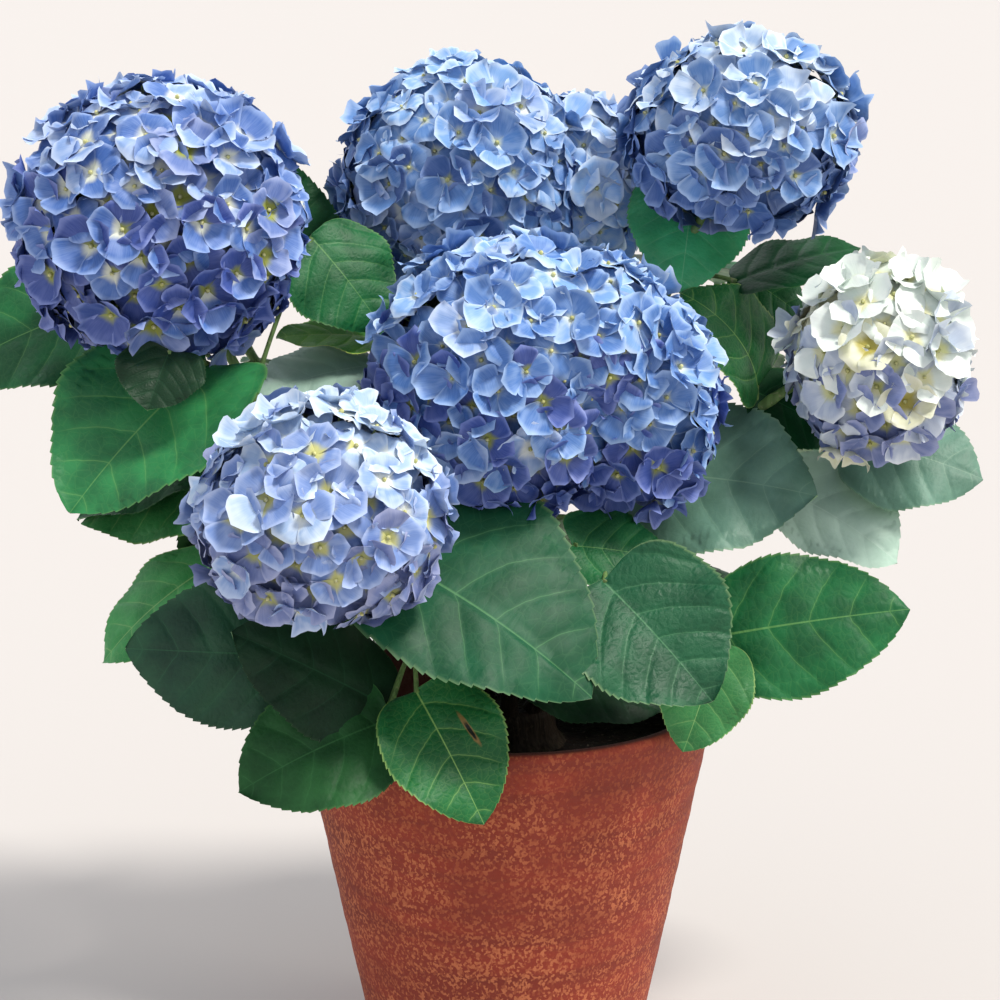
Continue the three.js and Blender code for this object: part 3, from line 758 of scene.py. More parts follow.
@dataclass(frozen=True)
class FibreFinish:
    """The finish of the bark, of the stems or of what is inside a head."""

    tree: bpy.types.NodeTree
    kind: Fibre

    def material(self) -> bpy.types.Material:
        """Makes the finish."""
        skin, streak, dot, streaks, dots, relief, depth, gloss = self.kind.value
        values = {"Skin": paint(skin), "Streak": paint(streak), "Dot": paint(dot),
                  "Streak Amount": streaks, "Dot Amount": dots}
        return surface(self.kind.name.lower(), self.tree, values, relief, depth,
                       Specular_IOR_Level=gloss)


class Finishes:
    """Every finish of the plant, made once and handed out by name."""

    def __init__(self) -> None:
        """Makes the node groups and the finishes."""
        leaf, petal, fibre = leaf_group(), petal_group(), fibre_group()
        self.leaves = {tint: LeafFinish(leaf, tint).material() for tint in LeafTint}
        self.underside = LeafFinish(leaf).material()
        self.petals = {tint: PetalFinish(petal, tint).material() for tint in PetalTint}
        self.clay = surface("fired_terracotta", clay_group(), {}, 0.5, 0.0009)
        self.soil = surface("potting_soil", crumb_group(), {}, 1.0, 0.004,
                            Specular_IOR_Level=0.1)
        self.fibres = {kind: FibreFinish(fibre, kind).material() for kind in Fibre}


# The plant and its pot


@dataclass(frozen=True)
class Shoot:
    """One shoot: the side of the stock it starts from, its line, and its lobe's half-sizes.

    Side is in degrees about +Z, and every foot stands on a ring about the axis. The leafy
    shoot ends where it comes nearer to the lobe's middle than the clearance, a factor on the
    largest half-size.
    """

    side: float
    via: Point
    to: Point
    size: Point

    RING = 24.0
    FOOT = 240.3
    FOOT_RADIUS = 4.6
    TIP_RADIUS = 2.6
    CLEARANCE = 1.06
    STEP = 0.005

    def at(self, share: Array | float) -> Array:
        """Points at shares of the line, a curve of the second order from foot to head."""
        t = np.asarray(share, float)[..., None]
        turn = radians(self.side)
        foot = np.array([self.RING * cos(turn), self.RING * sin(turn), self.FOOT])
        via, to = np.array(self.via, float), np.array(self.to, float)
        return (1 - t) ** 2 * foot + 2 * t * (1 - t) * via + t * t * to

    def head_share(self) -> float:
        """Share of the line at which the leafy shoot ends and its head begins."""
        share = 1.0
        while np.linalg.norm(self.at(share) - self.to) < self.CLEARANCE * max(self.size):
            share -= self.STEP
        return share

    def radius(self, share: Array) -> Array:
        """The shoot's radius, tapering evenly from foot to head."""
        return self.FOOT_RADIUS + (self.TIP_RADIUS - self.FOOT_RADIUS) * share


SHOOTS = {
    "left": Shoot(190, (-128, -10, 372), (-212, -40, 559), (92, 84, 85)),
    "low_left": Shoot(230, (-60, -90, 330), (-106, -165, 408), (79, 70, 71)),
    "front": Shoot(275, (5, -50, 360), (-2, -45, 470), (86, 78, 89)),
    "front_right": Shoot(313, (70, -50, 340), (85, -35, 441), (55, 60, 71)),
    "white": Shoot(350, (140, 90, 440), (233, 0, 465), (61, 64, 70)),
    "top_right": Shoot(22, (76, 104, 455), (153, 40, 604), (77, 74, 68)),
    "back_right": Shoot(58, (30, 80, 410), (41, 120, 560), (48, 50, 61)),
    "rear": Shoot(92, (20, 110, 330), (38, 165, 406), (73, 66, 69)),
    "back": Shoot(125, (-25, 60, 420), (-28, 95, 566), (87, 76, 86)),
    "rear_left": Shoot(157, (-120, 80, 380), (-216, 135, 511), (59, 58, 59)),
}
BOUGH_SHARE = 0.28
ROOT_MARGIN = 0.07


@dataclass(frozen=True)
class Leaf:
    """One leaf: where its blade starts, how it points and how it curves.

    Turn is in degrees about +Z and dip below the level; roll is about its own midrib, bend
    is how far the midrib turns over, and cup is how far the edges stand above it. Where lean
    is below zero, the blade is wider on its left side, seen from its stalk. Lobe is how far
    the base reaches back beside the stalk. The lower the shoulder, the sooner the blade
    widens from there.
    """

    at: Point
    turn: float
    dip: float
    long: float
    wide: float
    roll: float
    bend: float
    cup: float
    tint: LeafTint = LeafTint.MID
    wave: float = 0.03
    lean: float = 0.0
    lobe: float = 0.25
    shoulder: float = 0.5
    teeth: int = 22

    WIDEST_AT = 0.38
    FULLNESS = 0.5
    TOOTH_DEPTH = 0.035
    TOOTH_REACH = 0.009
    SWELLING = 0.01
    GROOVE_DEPTH = 0.6
    GROOVE_WIDTH = 2.2

    def axes(self) -> tuple[Array, Array, Array]:
        """Directions along the midrib, across it and out of the upper face."""
        t, d, r = radians(self.turn), radians(self.dip), radians(self.roll)
        along = np.array([cos(d) * cos(t), cos(d) * sin(t), -sin(d)])
        level = unit(np.cross(along, UP))
        upright = np.cross(level, along)
        face = upright * cos(r) + level * sin(r)
        return along, level * cos(r) - upright * sin(r), face

    def half_width(self, s: Array) -> Array:
        """Half the width at share s: full near the stalk, drawn out to a point at the tip."""
        tip = self.FULLNESS * (1 - self.WIDEST_AT) / self.WIDEST_AT
        base = (s / self.WIDEST_AT) ** self.shoulder
        return 0.5 * self.wide * base * ((1 - s) / (1 - self.WIDEST_AT)) ** tip

    def tip(self) -> Array:
        """The tip of the blade, a chord's length along from its base."""
        return np.array(self.at) + self.long * self.axes()[0]

    def surface(self, s: Array, t: Array, seed: float, relief: float = 1.0) -> Array:
        """Places on the blade, in millimetres.

        The midrib is an arc; the edges follow the half-width with forward teeth, rise by
        the cup and wave with a sine; the blade swells between side veins.

        Args:
            s: shares along, one for each row.
            t: shares across, -1 to 1, one for each column.
            seed: shifts the waves.
            relief: how much of the swelling and the groove is kept.
        """
        along, across, face = self.axes()
        bend = radians(self.bend)
        radius = self.long / (2 * sin(bend / 2))
        s2, t2 = np.meshgrid(s, t, indexing="ij")
        edge = np.abs(t2)
        angle = (0.5 - s2) * bend
        tooth = (s2 * self.teeth) % 1.0
        bite = edge ** 7 * ease(s2, 0.03, 0.12) * (1 - ease(s2, 0.9, 0.99))
        half = np.maximum(self.half_width(s2), 0.7 * (1 - s2) + 0.15)
        out = half * t2 * (1 + self.TOOTH_DEPTH * bite * (tooth - 0.4))
        forward = self.TOOTH_REACH * self.long * bite * tooth
        forward -= self.lobe * half * edge ** 2 * np.exp(-(s2 / 0.2) ** 2)
        way = half * edge * 10 / self.long
        phase = (s2 - way * (VEIN_SLOPE + VEIN_BOW * way)) * SIDE_VEINS
        swell = 1 - np.abs(2 * (phase % 1.0) - 1)
        lift = self.cup * half * edge ** 1.4
        lift += self.wave * self.wide * edge ** 2 * np.sin(2 * pi * (2.3 * s2 + chance(seed))
                                                           + np.sign(t2))
        lift += relief * self.SWELLING * self.wide * (1 - swell ** 2) * ease(edge, 0, 0.2) * (
            1 - 0.8 * ease(edge, 0.8, 1)) * ease(1 - s2, 0, 0.25)
        lift -= relief * self.GROOVE_DEPTH * np.exp(-(out / self.GROOVE_WIDTH) ** 2)
        rise = radius * (np.cos(angle) - cos(bend / 2))
        run = radius * (sin(bend / 2) - np.sin(angle)) + forward
        out = out + self.lean * half * (1 - np.exp(-edge * 4))
        outwards = face * np.cos(angle)[..., None] - along * np.sin(angle)[..., None]
        return (np.array(self.at) + along * run[..., None] + face * rise[..., None]
                + across * out[..., None] + outwards * lift[..., None])


TOOTH_SAMPLES = (0.0, 0.45, 0.95)

PLACED_LEAVES = {
    "left": [
        Leaf((-252, 55, 492), 188, 22, 112, 104, -42, 30, 0.05, LeafTint.MID),
        Leaf((-180, -64, 474), 215, 40, 123, 118, -30, 25, 0.2, LeafTint.MEADOW, lobe=0.8),
        Leaf((-198, -98, 488), 245, 50, 40, 54, -20, 20, 0.1, LeafTint.DARK),
        Leaf((-98, 12, 300), 178, 24, 104, 80, 6, 30, -0.1, LeafTint.DEEP),
        Leaf((-165, -50, 400), 185, 15, 100, 84, -25, 20, -0.1, LeafTint.LIT),
        Leaf((-122, 10, 541), 343, 50, 74, 76, 45, 25, -0.1, LeafTint.MID),
    ],
    "low_left": [
        Leaf((-177, -60, 350), 190, 40, 95, 72, -30, 35, -0.1, LeafTint.GLOW),
        Leaf((-125, -95, 300), 188, -5, 105, 92, -75, 20, -0.1, LeafTint.DUSK),
        Leaf((-70, -110, 272), 195, -30, 110, 76, -60, 15, -0.1, LeafTint.DARK),
        Leaf((-70, -120, 268), 200, 20, 100, 88, -45, 35, 0.1, LeafTint.OLIVE),
        Leaf((-54, -126, 288), 315, 50, 90, 76, 30, 25, 0.1, LeafTint.TORN),
    ],
    "front": [
        Leaf((-67, -113, 365), 340, 30, 144, 136, 38, 35, 0, LeafTint.SOFT, wave=0.02,
             lean=-0.2, lobe=0.6, shoulder=0.3),
    ],
    "front_right": [
        Leaf((58, -98, 348), 328, 40, 98, 106, 40, 25, 0.15, LeafTint.RIPPLED),
        Leaf((40, -75, 364), 5, 10, 60, 58, 45, 20, 0, LeafTint.MID, lobe=0.7),
        Leaf((88, 27, 385), 338, 2, 116, 118, 45, 25, 0, LeafTint.SHEEN),
        Leaf((130, -85, 305), 220, 65, 70, 60, -55, 20, 0, LeafTint.LIT),
        Leaf((125, -60, 301), 355, -10, 125, 92, 60, 20, -0.1, LeafTint.MID),
        Leaf((10, -60, 278), 355, 14, 90, 62, 30, 20, 0, LeafTint.DARK),
    ],
    "white": [
        Leaf((122, 16, 316), 6, 20, 112, 84, 6, 30, -0.1, LeafTint.MID),
        Leaf((108, 72, 302), 38, 32, 106, 82, 0, 30, -0.1, LeafTint.MID),
        Leaf((174, 45, 373), 341, 28, 95, 92, 30, 30, 0.2, LeafTint.SILVER),
        Leaf((163, 46, 438), 196, -50, 84, 76, -50, 70, 0.1, LeafTint.FRESH),
        Leaf((160, 46, 436), 4, 30, 68, 56, 52, 25, 0, LeafTint.DEEP),
        Leaf((224, 62, 401), 345, 14, 92, 86, 45, 25, -0.1, LeafTint.SHEEN),
        Leaf((150, 78, 509), 350, 33, 55, 52, 45, 20, 0, LeafTint.MID),
    ],
    "top_right": [
        Leaf((123, 92, 572), 258, 50, 92, 80, -12, 25, -0.1, LeafTint.COOL),
        Leaf((147, 56, 505), 5, -15, 85, 60, 20, 20, 0, LeafTint.DEEP),
    ],
    "back": [
        Leaf((-76, 32, 472), 196, -4, 72, 60, -12, 20, 0, LeafTint.BRIGHT),
        Leaf((-82, 16, 459), 199, 12, 86, 74, -25, 25, -0.1, LeafTint.SILVER),
        Leaf((-132, 62, 496), 120, -68, 92, 66, -20, 20, 0, LeafTint.DEEP),
    ],
}


@dataclass
class LeafRule:
    """The rule for the leaves that aren't placed one by one.

    Pairs stand at shares of a shoot, each a quarter turn on from the last, and each shoot's
    first pair is turned on from the last shoot's. Turns and rolls are uneven by some degrees.
    A leaf takes the first of its spare turns at which the solids have its tip, near enough.
    """

    shares: tuple[float, ...] = (0.38, 0.48, 0.58, 0.68, 0.78)
    spare_turns: tuple[float, ...] = (0, 28, -28, 56, -56)
    length: tuple[float, float] = (96, 132)
    slenderness: float = 0.76
    stalk: float = 34.0
    dip: tuple[float, float] = (12, 42)
    bend: float = 28
    cup: float = -0.08
    shoot_turn: float = 37
    unevenness: float = 24
    stalk_rise: float = 0.3
    near_enough: float = 0.8

    def leaves(self, name: str, order: int) -> list[Leaf]:
        """The rule's leaves on one shoot."""
        shoot = SHOOTS[name]
        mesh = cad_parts[f"leaves_{name}"].data
        solid = np.empty(3 * len(mesh.vertices), np.float32)
        mesh.vertices.foreach_get("co", solid)
        solid = solid.reshape(-1, 3) / MM
        found = []
        last = shoot.head_share() - ROOT_MARGIN
        for pair, share in enumerate(s for s in self.shares if s < last):
            for half in (0, 1):
                choices = self._choices(shoot, order, pair, half, share)
                fitting = [leaf for leaf in choices if
                           np.linalg.norm(solid - leaf.tip(), axis=1).min() < self.near_enough]
                found += fitting[:1]
        return found

    def _choices(self, shoot: Shoot, order: int, pair: int, half: int,
                 share: float) -> list[Leaf]:
        """One leaf of a pair, turned in each way that it may be."""
        seed = 100 * order + 10 * pair + half
        first = self.shoot_turn * order + 90 * pair + 180 * half
        first = first + self.unevenness * chance(seed)
        long = float(spread(seed + 5, *self.length))
        node = shoot.at(share)
        tint = (LeafTint.MID, LeafTint.DEEP, LeafTint.FRESH)[int(3 * chance(seed + 9)) % 3]
        choices = []
        for spare in self.spare_turns:
            turn = float(first + spare + 360) % 360
            way = np.array([cos(radians(turn)), sin(radians(turn)), self.stalk_rise])
            choices.append(Leaf(
                tuple(node + self.stalk * way), turn, float(spread(seed + 3, *self.dip)), long,
                self.slenderness * long, self.unevenness * float(chance(seed + 7) - 0.5),
                self.bend, self.cup, tint))
        return choices


@dataclass
class Foliage:
    """The blades of one shoot, with their stalks and the leafy shoot itself.

    The columns of a blade's face crowd towards its edges, and its last row is at the tip's
    share. Each leaf's pattern is a step further on than the last one's.
    """

    name: str
    order: int
    blade_columns: int = 29
    under_columns: int = 9
    thickness: float = 1.2
    shoot_rows: int = 60
    shoot_columns: int = 12
    stalk_rows: int = 14
    stalk_columns: int = 10

    CROWDING = 0.86
    TIP_SHARE = 0.998
    KNOT_LENGTH = 0.012
    PATTERN_STEP = 40.0
    STALK_BOW = 0.06
    STALK_OVERLAP = 1.5

    def build(self, finishes: Finishes, stems: Skin) -> None:
        """Makes the blades' piece and adds the shoot and the stalks to the stems."""
        shoot = SHOOTS[self.name]
        leaves = PLACED_LEAVES.get(self.name, []) + LeafRule().leaves(self.name, self.order)
        tints = sorted({leaf.tint for leaf in leaves}, key=lambda tint: tint.name)
        side = int(np.ceil(sqrt(2 * len(leaves))))
        blades = Skin()
        for number, leaf in enumerate(leaves):
            self._blade(blades, leaf, number, side, tints)
            self._stalk(stems, shoot, leaf)
        share = np.linspace(BOUGH_SHARE, 1.0, self.shoot_rows)
        knots = sum(np.exp(-((share - s) / self.KNOT_LENGTH) ** 2) for s in LeafRule.shares)
        angle = full_turn(self.shoot_columns)
        ribs = 1 + 0.05 * np.cos(3 * angle)[None] + 0.22 * knots[:, None]
        stems.grids(tube(shoot.at(share), shoot.radius(share), self.shoot_columns, ribs),
                    closed=True)
        if leaves:
            materials = [finishes.underside] + [finishes.leaves[tint] for tint in tints]
            blades.piece(f"blades_{self.name}", materials, "leaf", [f"leaves_{self.name}"], 50)

    def _blade(self, blades: Skin, leaf: Leaf, number: int, side: int,
               tints: list[LeafTint]) -> None:
        """One blade as a flat closed ring of columns: its face, then back along its underside.

        The underside lies the thickness lower, and has a bulge under the midrib that thins
        out towards the tip.
        """
        samples = np.arange(leaf.teeth)[:, None] + np.array(TOOTH_SAMPLES)
        samples = samples.ravel() / leaf.teeth
        s = np.concatenate([samples, [self.TIP_SHARE]])
        t = np.sin(np.linspace(-1, 1, self.blade_columns) * pi / 2 * self.CROWDING)
        t = t / t[-1]
        low = np.linspace(1, -1, self.under_columns)
        seed = 100 * self.order + number
        upper = leaf.surface(s, t, seed)
        under = leaf.surface(s, low[1:-1], seed, 0.0)
        face = leaf.axes()[2]
        bulge = np.exp(-(low[1:-1] / 0.1) ** 2)[None] * (1.6 * (1 - s) + 0.2)[:, None]
        under = under - face * (self.thickness + bulge)[..., None]
        points = np.concatenate([upper, under], axis=1)[None] * MM
        around = np.concatenate([t, low[1:]])
        both = joined((around[None] + 1) / 2, s[:, None])[None]
        half = np.maximum(leaf.half_width(s), 0.7)
        tenth = leaf.long / 10
        spans = joined(around[None] * half[:, None] / tenth, s[:, None] * 10)[None]
        spans = spans + self.PATTERN_STEP * number * np.array([0.0, 1.0])
        is_face = np.arange(len(around) - 1) < len(t) - 1
        sheet = np.where(is_face, 2 * number, 2 * number + 1)
        bake = tuple(cell(part, sheet, side) for part in strip(both))
        maps = {"leaf": strip(both), "span": strip(spans), "OFBake": bake}
        blades.grids(points, maps, np.where(is_face, 1 + tints.index(leaf.tint), 0), closed=True)

    def _stalk(self, stems: Skin, shoot: Shoot, leaf: Leaf) -> None:
        """A leaf stalk from the nearest point of the shoot to the blade, a little bowed."""
        end = shoot.head_share() - ROOT_MARGIN
        line = shoot.at(np.linspace(BOUGH_SHARE + ROOT_MARGIN, end, 61))
        at = np.array(leaf.at, float)
        root = line[np.linalg.norm(line - at, axis=1).argmin()]
        share = np.linspace(0, 1, self.stalk_rows)[:, None]
        bow = self.STALK_BOW * np.linalg.norm(at - root)
        tip = at + self.STALK_OVERLAP * leaf.axes()[0]
        path = root + (tip - root) * share + UP * bow * 4 * share * (1 - share)
        angle = full_turn(self.stalk_columns)
        channel = 1 - 0.16 * np.maximum(0, np.cos(angle - pi / 2)) ** 2
        radii = 2.5 - 0.9 * ease(share[:, 0], 0, 0.25) + 0.3 * ease(share[:, 0], 0.85, 1)
        stems.grids(tube(path, radii, self.stalk_columns, channel[None]), closed=True)


@dataclass(frozen=True)
class Palette:
    """How a head's tints are dealt: pale, middle and deep by how far a sepal faces the light and
    how high it stands, with accents by chance. The pale tops and deep undersides are partly the
    head's own colour and partly painted light and shade.
    """

    pale: PetalTint
    middle: PetalTint
    deep: PetalTint
    accent: PetalTint
    accent_share: float = 0.12
    slot: str = "petal_violet_blue"
    levels: tuple[float, float] = (0.1, 0.55)

    @property
    def tints(self) -> list[PetalTint]:
        """The four tints, in the order of their numbers."""
        return [self.pale, self.middle, self.deep, self.accent]

    def deal(self, level: Array, floret: Array, sepal: Array) -> Array:
        """Tint number of each sepal.

        Args:
            level: how far it faces the light and how high it stands, from -1 to 1; a high level
                deals a pale tint and a low one a deep tint, painting light and shade.
            floret: a seed for each floret.
            sepal: a seed for each sepal.
        """
        level = level + spread(floret + 17, -0.25, 0.25) + spread(sepal + 11, -0.12, 0.12)
        number = np.where(level > self.levels[1], 0, np.where(level > self.levels[0], 1, 2))
        return np.where(chance(floret + 31) < self.accent_share, 3, number)


@dataclass
class Head:
    """A head of florets of one lobe or more: hearts, florets, beads and their stalklets.

    Beside names the shoots whose lobes, made as another head, it grows into, and bridge is
    the middle and the half-sizes of a further lobe that fills the dip between two. As shares
    of a lobe's half-sizes: seat is the least reach of a floret's throat and its range beyond
    that, merging is how deep in another lobe a floret is left out, root is where a stalklet
    starts and heart is the size of the dark inside. A bead's size is a share of its floret's
    radius, and tilt is a direction that no floret faces. A lobe of the mean size has as many
    florets as said.
    """

    name: str
    node: str
    shoots: tuple[str, ...]
    order: int
    palette: Palette
    shift: tuple[Point, ...] = ((0.0, 0.0, 0.0),)
    fill: Point = (1.0, 1.0, 1.0)
    beside: tuple[str, ...] = ()
    bridge: tuple[Point, ...] = ()
    florets_per_lobe: int = 158
    lowest: float = -0.9
    floret_radius: tuple[float, float] = (14.5, 19.0)
    variations: int = 16
    seat: tuple[float, float] = (0.75, 0.14)
    merging: float = 0.82
    sway: float = 0.22
    root: float = 0.42
    heart: float = 0.7
    heart_rows: int = 14
    heart_columns: int = 22
    bead: float = 0.09
    stalklet_radii: tuple[float, float] = (1.1, 0.8)
    tilt: Point = (0.3, 0.2, 1.0)

    MEAN_SIZE = 80
    SEPAL_ROWS = (0.04, 0.27, 0.5, 0.72, 0.88, 1.0)
    SEPAL_COLUMNS = (-1.0, -0.9, -0.66, -0.34, 0.0, 0.34, 0.66, 0.9, 1.0)
    SHEET_SIDE = 8

    def build(self, finishes: Finishes) -> None:
        """Makes the head's pieces, which together stand for its node.

        In the inner piece the finish numbers are 0 heart, 1 stalklet and 2 bead.
        """
        petals, inner = Skin(), Skin()
        lobes = [(np.array(SHOOTS[label].to) + move, np.array(self.fill) * SHOOTS[label].size)
                 for label, move in zip(self.shoots, self.shift)]
        lobes += [tuple(np.array(part) for part in self.bridge)] if self.bridge else []
        near = [(np.array(SHOOTS[label].to), np.array(SHOOTS[label].size))
                for label in self.beside]
        for k, (middle, size) in enumerate(lobes):
            others = near + [lobe for i, lobe in enumerate(lobes) if i != k]
            self._lobe(petals, inner, middle, size, others, 0.7 * self.order + k)
        sepals = [finishes.petals[tint] for tint in self.palette.tints]
        petals.piece(f"petals_{self.name}", sepals, self.palette.slot, [self.node], 80)
        inside = [finishes.fibres[kind]
                  for kind in (Fibre.FLOWER_HEART, Fibre.FLOWER_STALK, Fibre.FLOWER_BEAD)]
        inner.piece(f"stalklets_{self.name}", inside, self.palette.slot, [self.node], 80)

    def _lobe(self, petals: Skin, inner: Skin, middle: Array, size: Array,
              others: list[tuple[Array, Array]], seed: float) -> None:
        """One lobe: florets on a spiral that winds down from its top."""
        count = round(self.florets_per_lobe * (cbrt(size.prod()) / self.MEAN_SIZE) ** 2)
        i = np.arange(count)
        height = 1 - (1 - self.lowest) * (i + 0.5) / count
        ball = turned(np.sqrt(1 - height ** 2), height, seed + i * GOLDEN_ANGLE)
        reach = self.seat[0] + self.seat[1] * chance(seed * 50 + i) ** 0.5
        centre = ball * size * reach[:, None] + middle
        kept = np.ones(count, bool)
        for place, bulk in others:
            kept &= (((centre - place) / (self.merging * bulk)) ** 2).sum(axis=1) > 1
        i, centre, ball = i[kept], centre[kept], ball[kept]
        marks = 1000 * (self.order + 1) + 7.0 * seed + i
        sway = joined(*(spread(marks + k, -self.sway, self.sway) for k in (0.1, 0.2, 0.3)))
        outward = unit(unit(ball / size) + sway + 0.1 * UP)
        radius = spread(marks + 0.4, *self.floret_radius)
        self._florets(petals, centre, outward, radius, marks, ball[:, 2])
        self._beads(inner, centre, outward, radius)
        self._stalklets(inner, middle + self.root * (centre - middle), centre - 2.0 * outward)
        self._heart(inner, middle, self.heart * size)

    def _florets(self, petals: Skin, centre: Array, outward: Array, radius: Array,
                 marks: Array, height: Array) -> None:
        """Four sepals to a floret, each a small grid.

        A place on a sepal has the share v from throat to tip and t across. It lies
        length x v (1 - 0.4 v d) out, where d is the fall of a half circle from its top at
        t = 0, with a small point there. To the side it lies half the width x t x an opening
        that grows with v. It rises by cup x v^1.4, by hollow x v x t squared and by a flutter
        along the edge, and turns down by curl x v^5. Each sepal is rolled so that one side
        lies over its neighbour and the other side under.
        """
        right, ahead = square_to(outward, self.tilt)
        v = np.array(self.SEPAL_ROWS)[:, None]
        t = np.array(self.SEPAL_COLUMNS)[None]
        edge = np.abs(t)
        sepal = np.arange(4)
        key = marks[:, None] + 0.13 * sepal
        turn = 6.2 * chance(marks)[:, None] + sepal * pi / 2 + spread(key, -0.14, 0.14)
        shape = (len(marks), 4, 1, 1)
        length = (radius[:, None] * spread(key + 1, 0.86, 1.12)).reshape(shape)
        width = (radius[:, None] * spread(key + 2, 1.1, 1.45)).reshape(shape)
        cup = self._dealt(3, 0.1, 0.62, 0.1, marks, key)
        hollow = self._dealt(4, -0.1, 0.16, 0.08, marks, key).reshape(shape)
        beat = (6 * chance(key + 5)).reshape(shape)
        curl = self._dealt(6, -0.05, 0.3, 0.1, marks, key).reshape(shape)
        opening = 0.14 + 0.86 * (1 - (1 - v) ** 2.2)
        dome = 1 - np.sqrt(1 - 0.96 * t ** 2)
        out = length * v * (1 - 0.4 * v * dome) + length * 0.12 * (1 - edge) ** 3 * v ** 4
        aside = 0.5 * width * opening * t
        rise = length * (cup.reshape(shape) * v ** 1.4 + hollow * t ** 2 * v)
        rise = rise + length * 0.13 * v ** 2 * edge * np.sin(5.4 * t + 3.4 * v + beat)
        rise = rise + length * 0.1 * t * v - length * curl * v ** 5
        ray = (right[:, None] * np.cos(turn)[..., None]
               + ahead[:, None] * np.sin(turn)[..., None])[:, :, None, None]
        over = outward[:, None, None, None]
        flank = np.cross(ray, over)
        points = (centre[:, None, None, None] + ray * out[..., None] + flank * aside[..., None]
                  + over * rise[..., None])
        points = points.reshape(-1, len(v), t.size, 3) * MM
        # Painted light and shade: sepals that face the light or stand high get paler tints, and
        # those that face away or stand low get deeper ones.
        facing = unit(outward[:, None] - cup[..., None] * ray[:, :, 0, 0])
        level = 0.7 * facing @ PAINTED_LIGHT_SIDE + 0.4 * height[:, None]
        tints = self.palette.deal(level, marks[:, None], key)
        pick = (marks.astype(int)[:, None] + sepal) % self.variations
        flat = joined((t + 1) / 2, v)[None]
        flat = np.broadcast_to(flat, (len(points), *flat.shape[1:]))
        shift = pick.reshape(-1, 1, 1, 1) * np.array([1.0, 0.0])
        sheet = (tints * self.variations + pick).reshape(-1, 1, 1)
        bake = tuple(cell(part, sheet, self.SHEET_SIDE) for part in strip(flat))
        maps = {"petal": strip(0.002 + 0.996 * flat + shift), "OFBake": bake}
        petals.grids(points, maps, tints.reshape(-1, 1, 1))

    @staticmethod
    def _dealt(seed: int, low: float, high: float, own: float, marks: Array,
               key: Array) -> Array:
        """A number for each sepal: its floret's, from low to high, give or take its own."""
        return spread(marks + seed, low, high)[:, None] + spread(key + seed, -own, own)

    def _beads(self, inner: Skin, centre: Array, outward: Array, radius: Array) -> None:
        """A little round bead in each throat, as a closed six-sided grid."""
        level = np.array([-0.8, 0.2, 0.9])
        wide = np.sqrt(1 - level ** 2)
        ring = hoop(*square_to(outward, self.tilt), np.arange(6) * pi / 3)[:, None]
        size = (self.bead * radius)[:, None, None, None]
        points = (centre[:, None, None] + ring * size * wide[None, :, None, None]
                  + outward[:, None, None] * size * (0.7 + level)[None, :, None, None])
        inner.grids(points * MM, None, 2, closed=True)

    def _stalklets(self, inner: Skin, root: Array, tip: Array) -> None:
        """A three-sided stalk from inside the head to the back of each floret."""
        thick, thin = self.stalklet_radii
        ring = hoop(*square_to(unit(tip - root), (0.2, 1.0, 0.3)), np.arange(3) * 2 * pi / 3)
        points = np.stack([root[:, None] + thick * ring, tip[:, None] + thin * ring], axis=1)
        inner.grids(points * MM, None, 1, closed=True)

    def _heart(self, inner: Skin, middle: Array, size: Array) -> None:
        """The dark inside of the head, an uneven egg."""
        tall = np.linspace(-pi / 2 + 0.05, pi / 2 - 0.05, self.heart_rows)[:, None]
        ball = turned(np.cos(tall), np.sin(tall), full_turn(self.heart_columns)[None])
        points = middle + ball * size * (1 + 0.05 * ripple(ball, 0.9)[..., None])
        inner.grids(points[None] * MM, None, 0, closed=True)


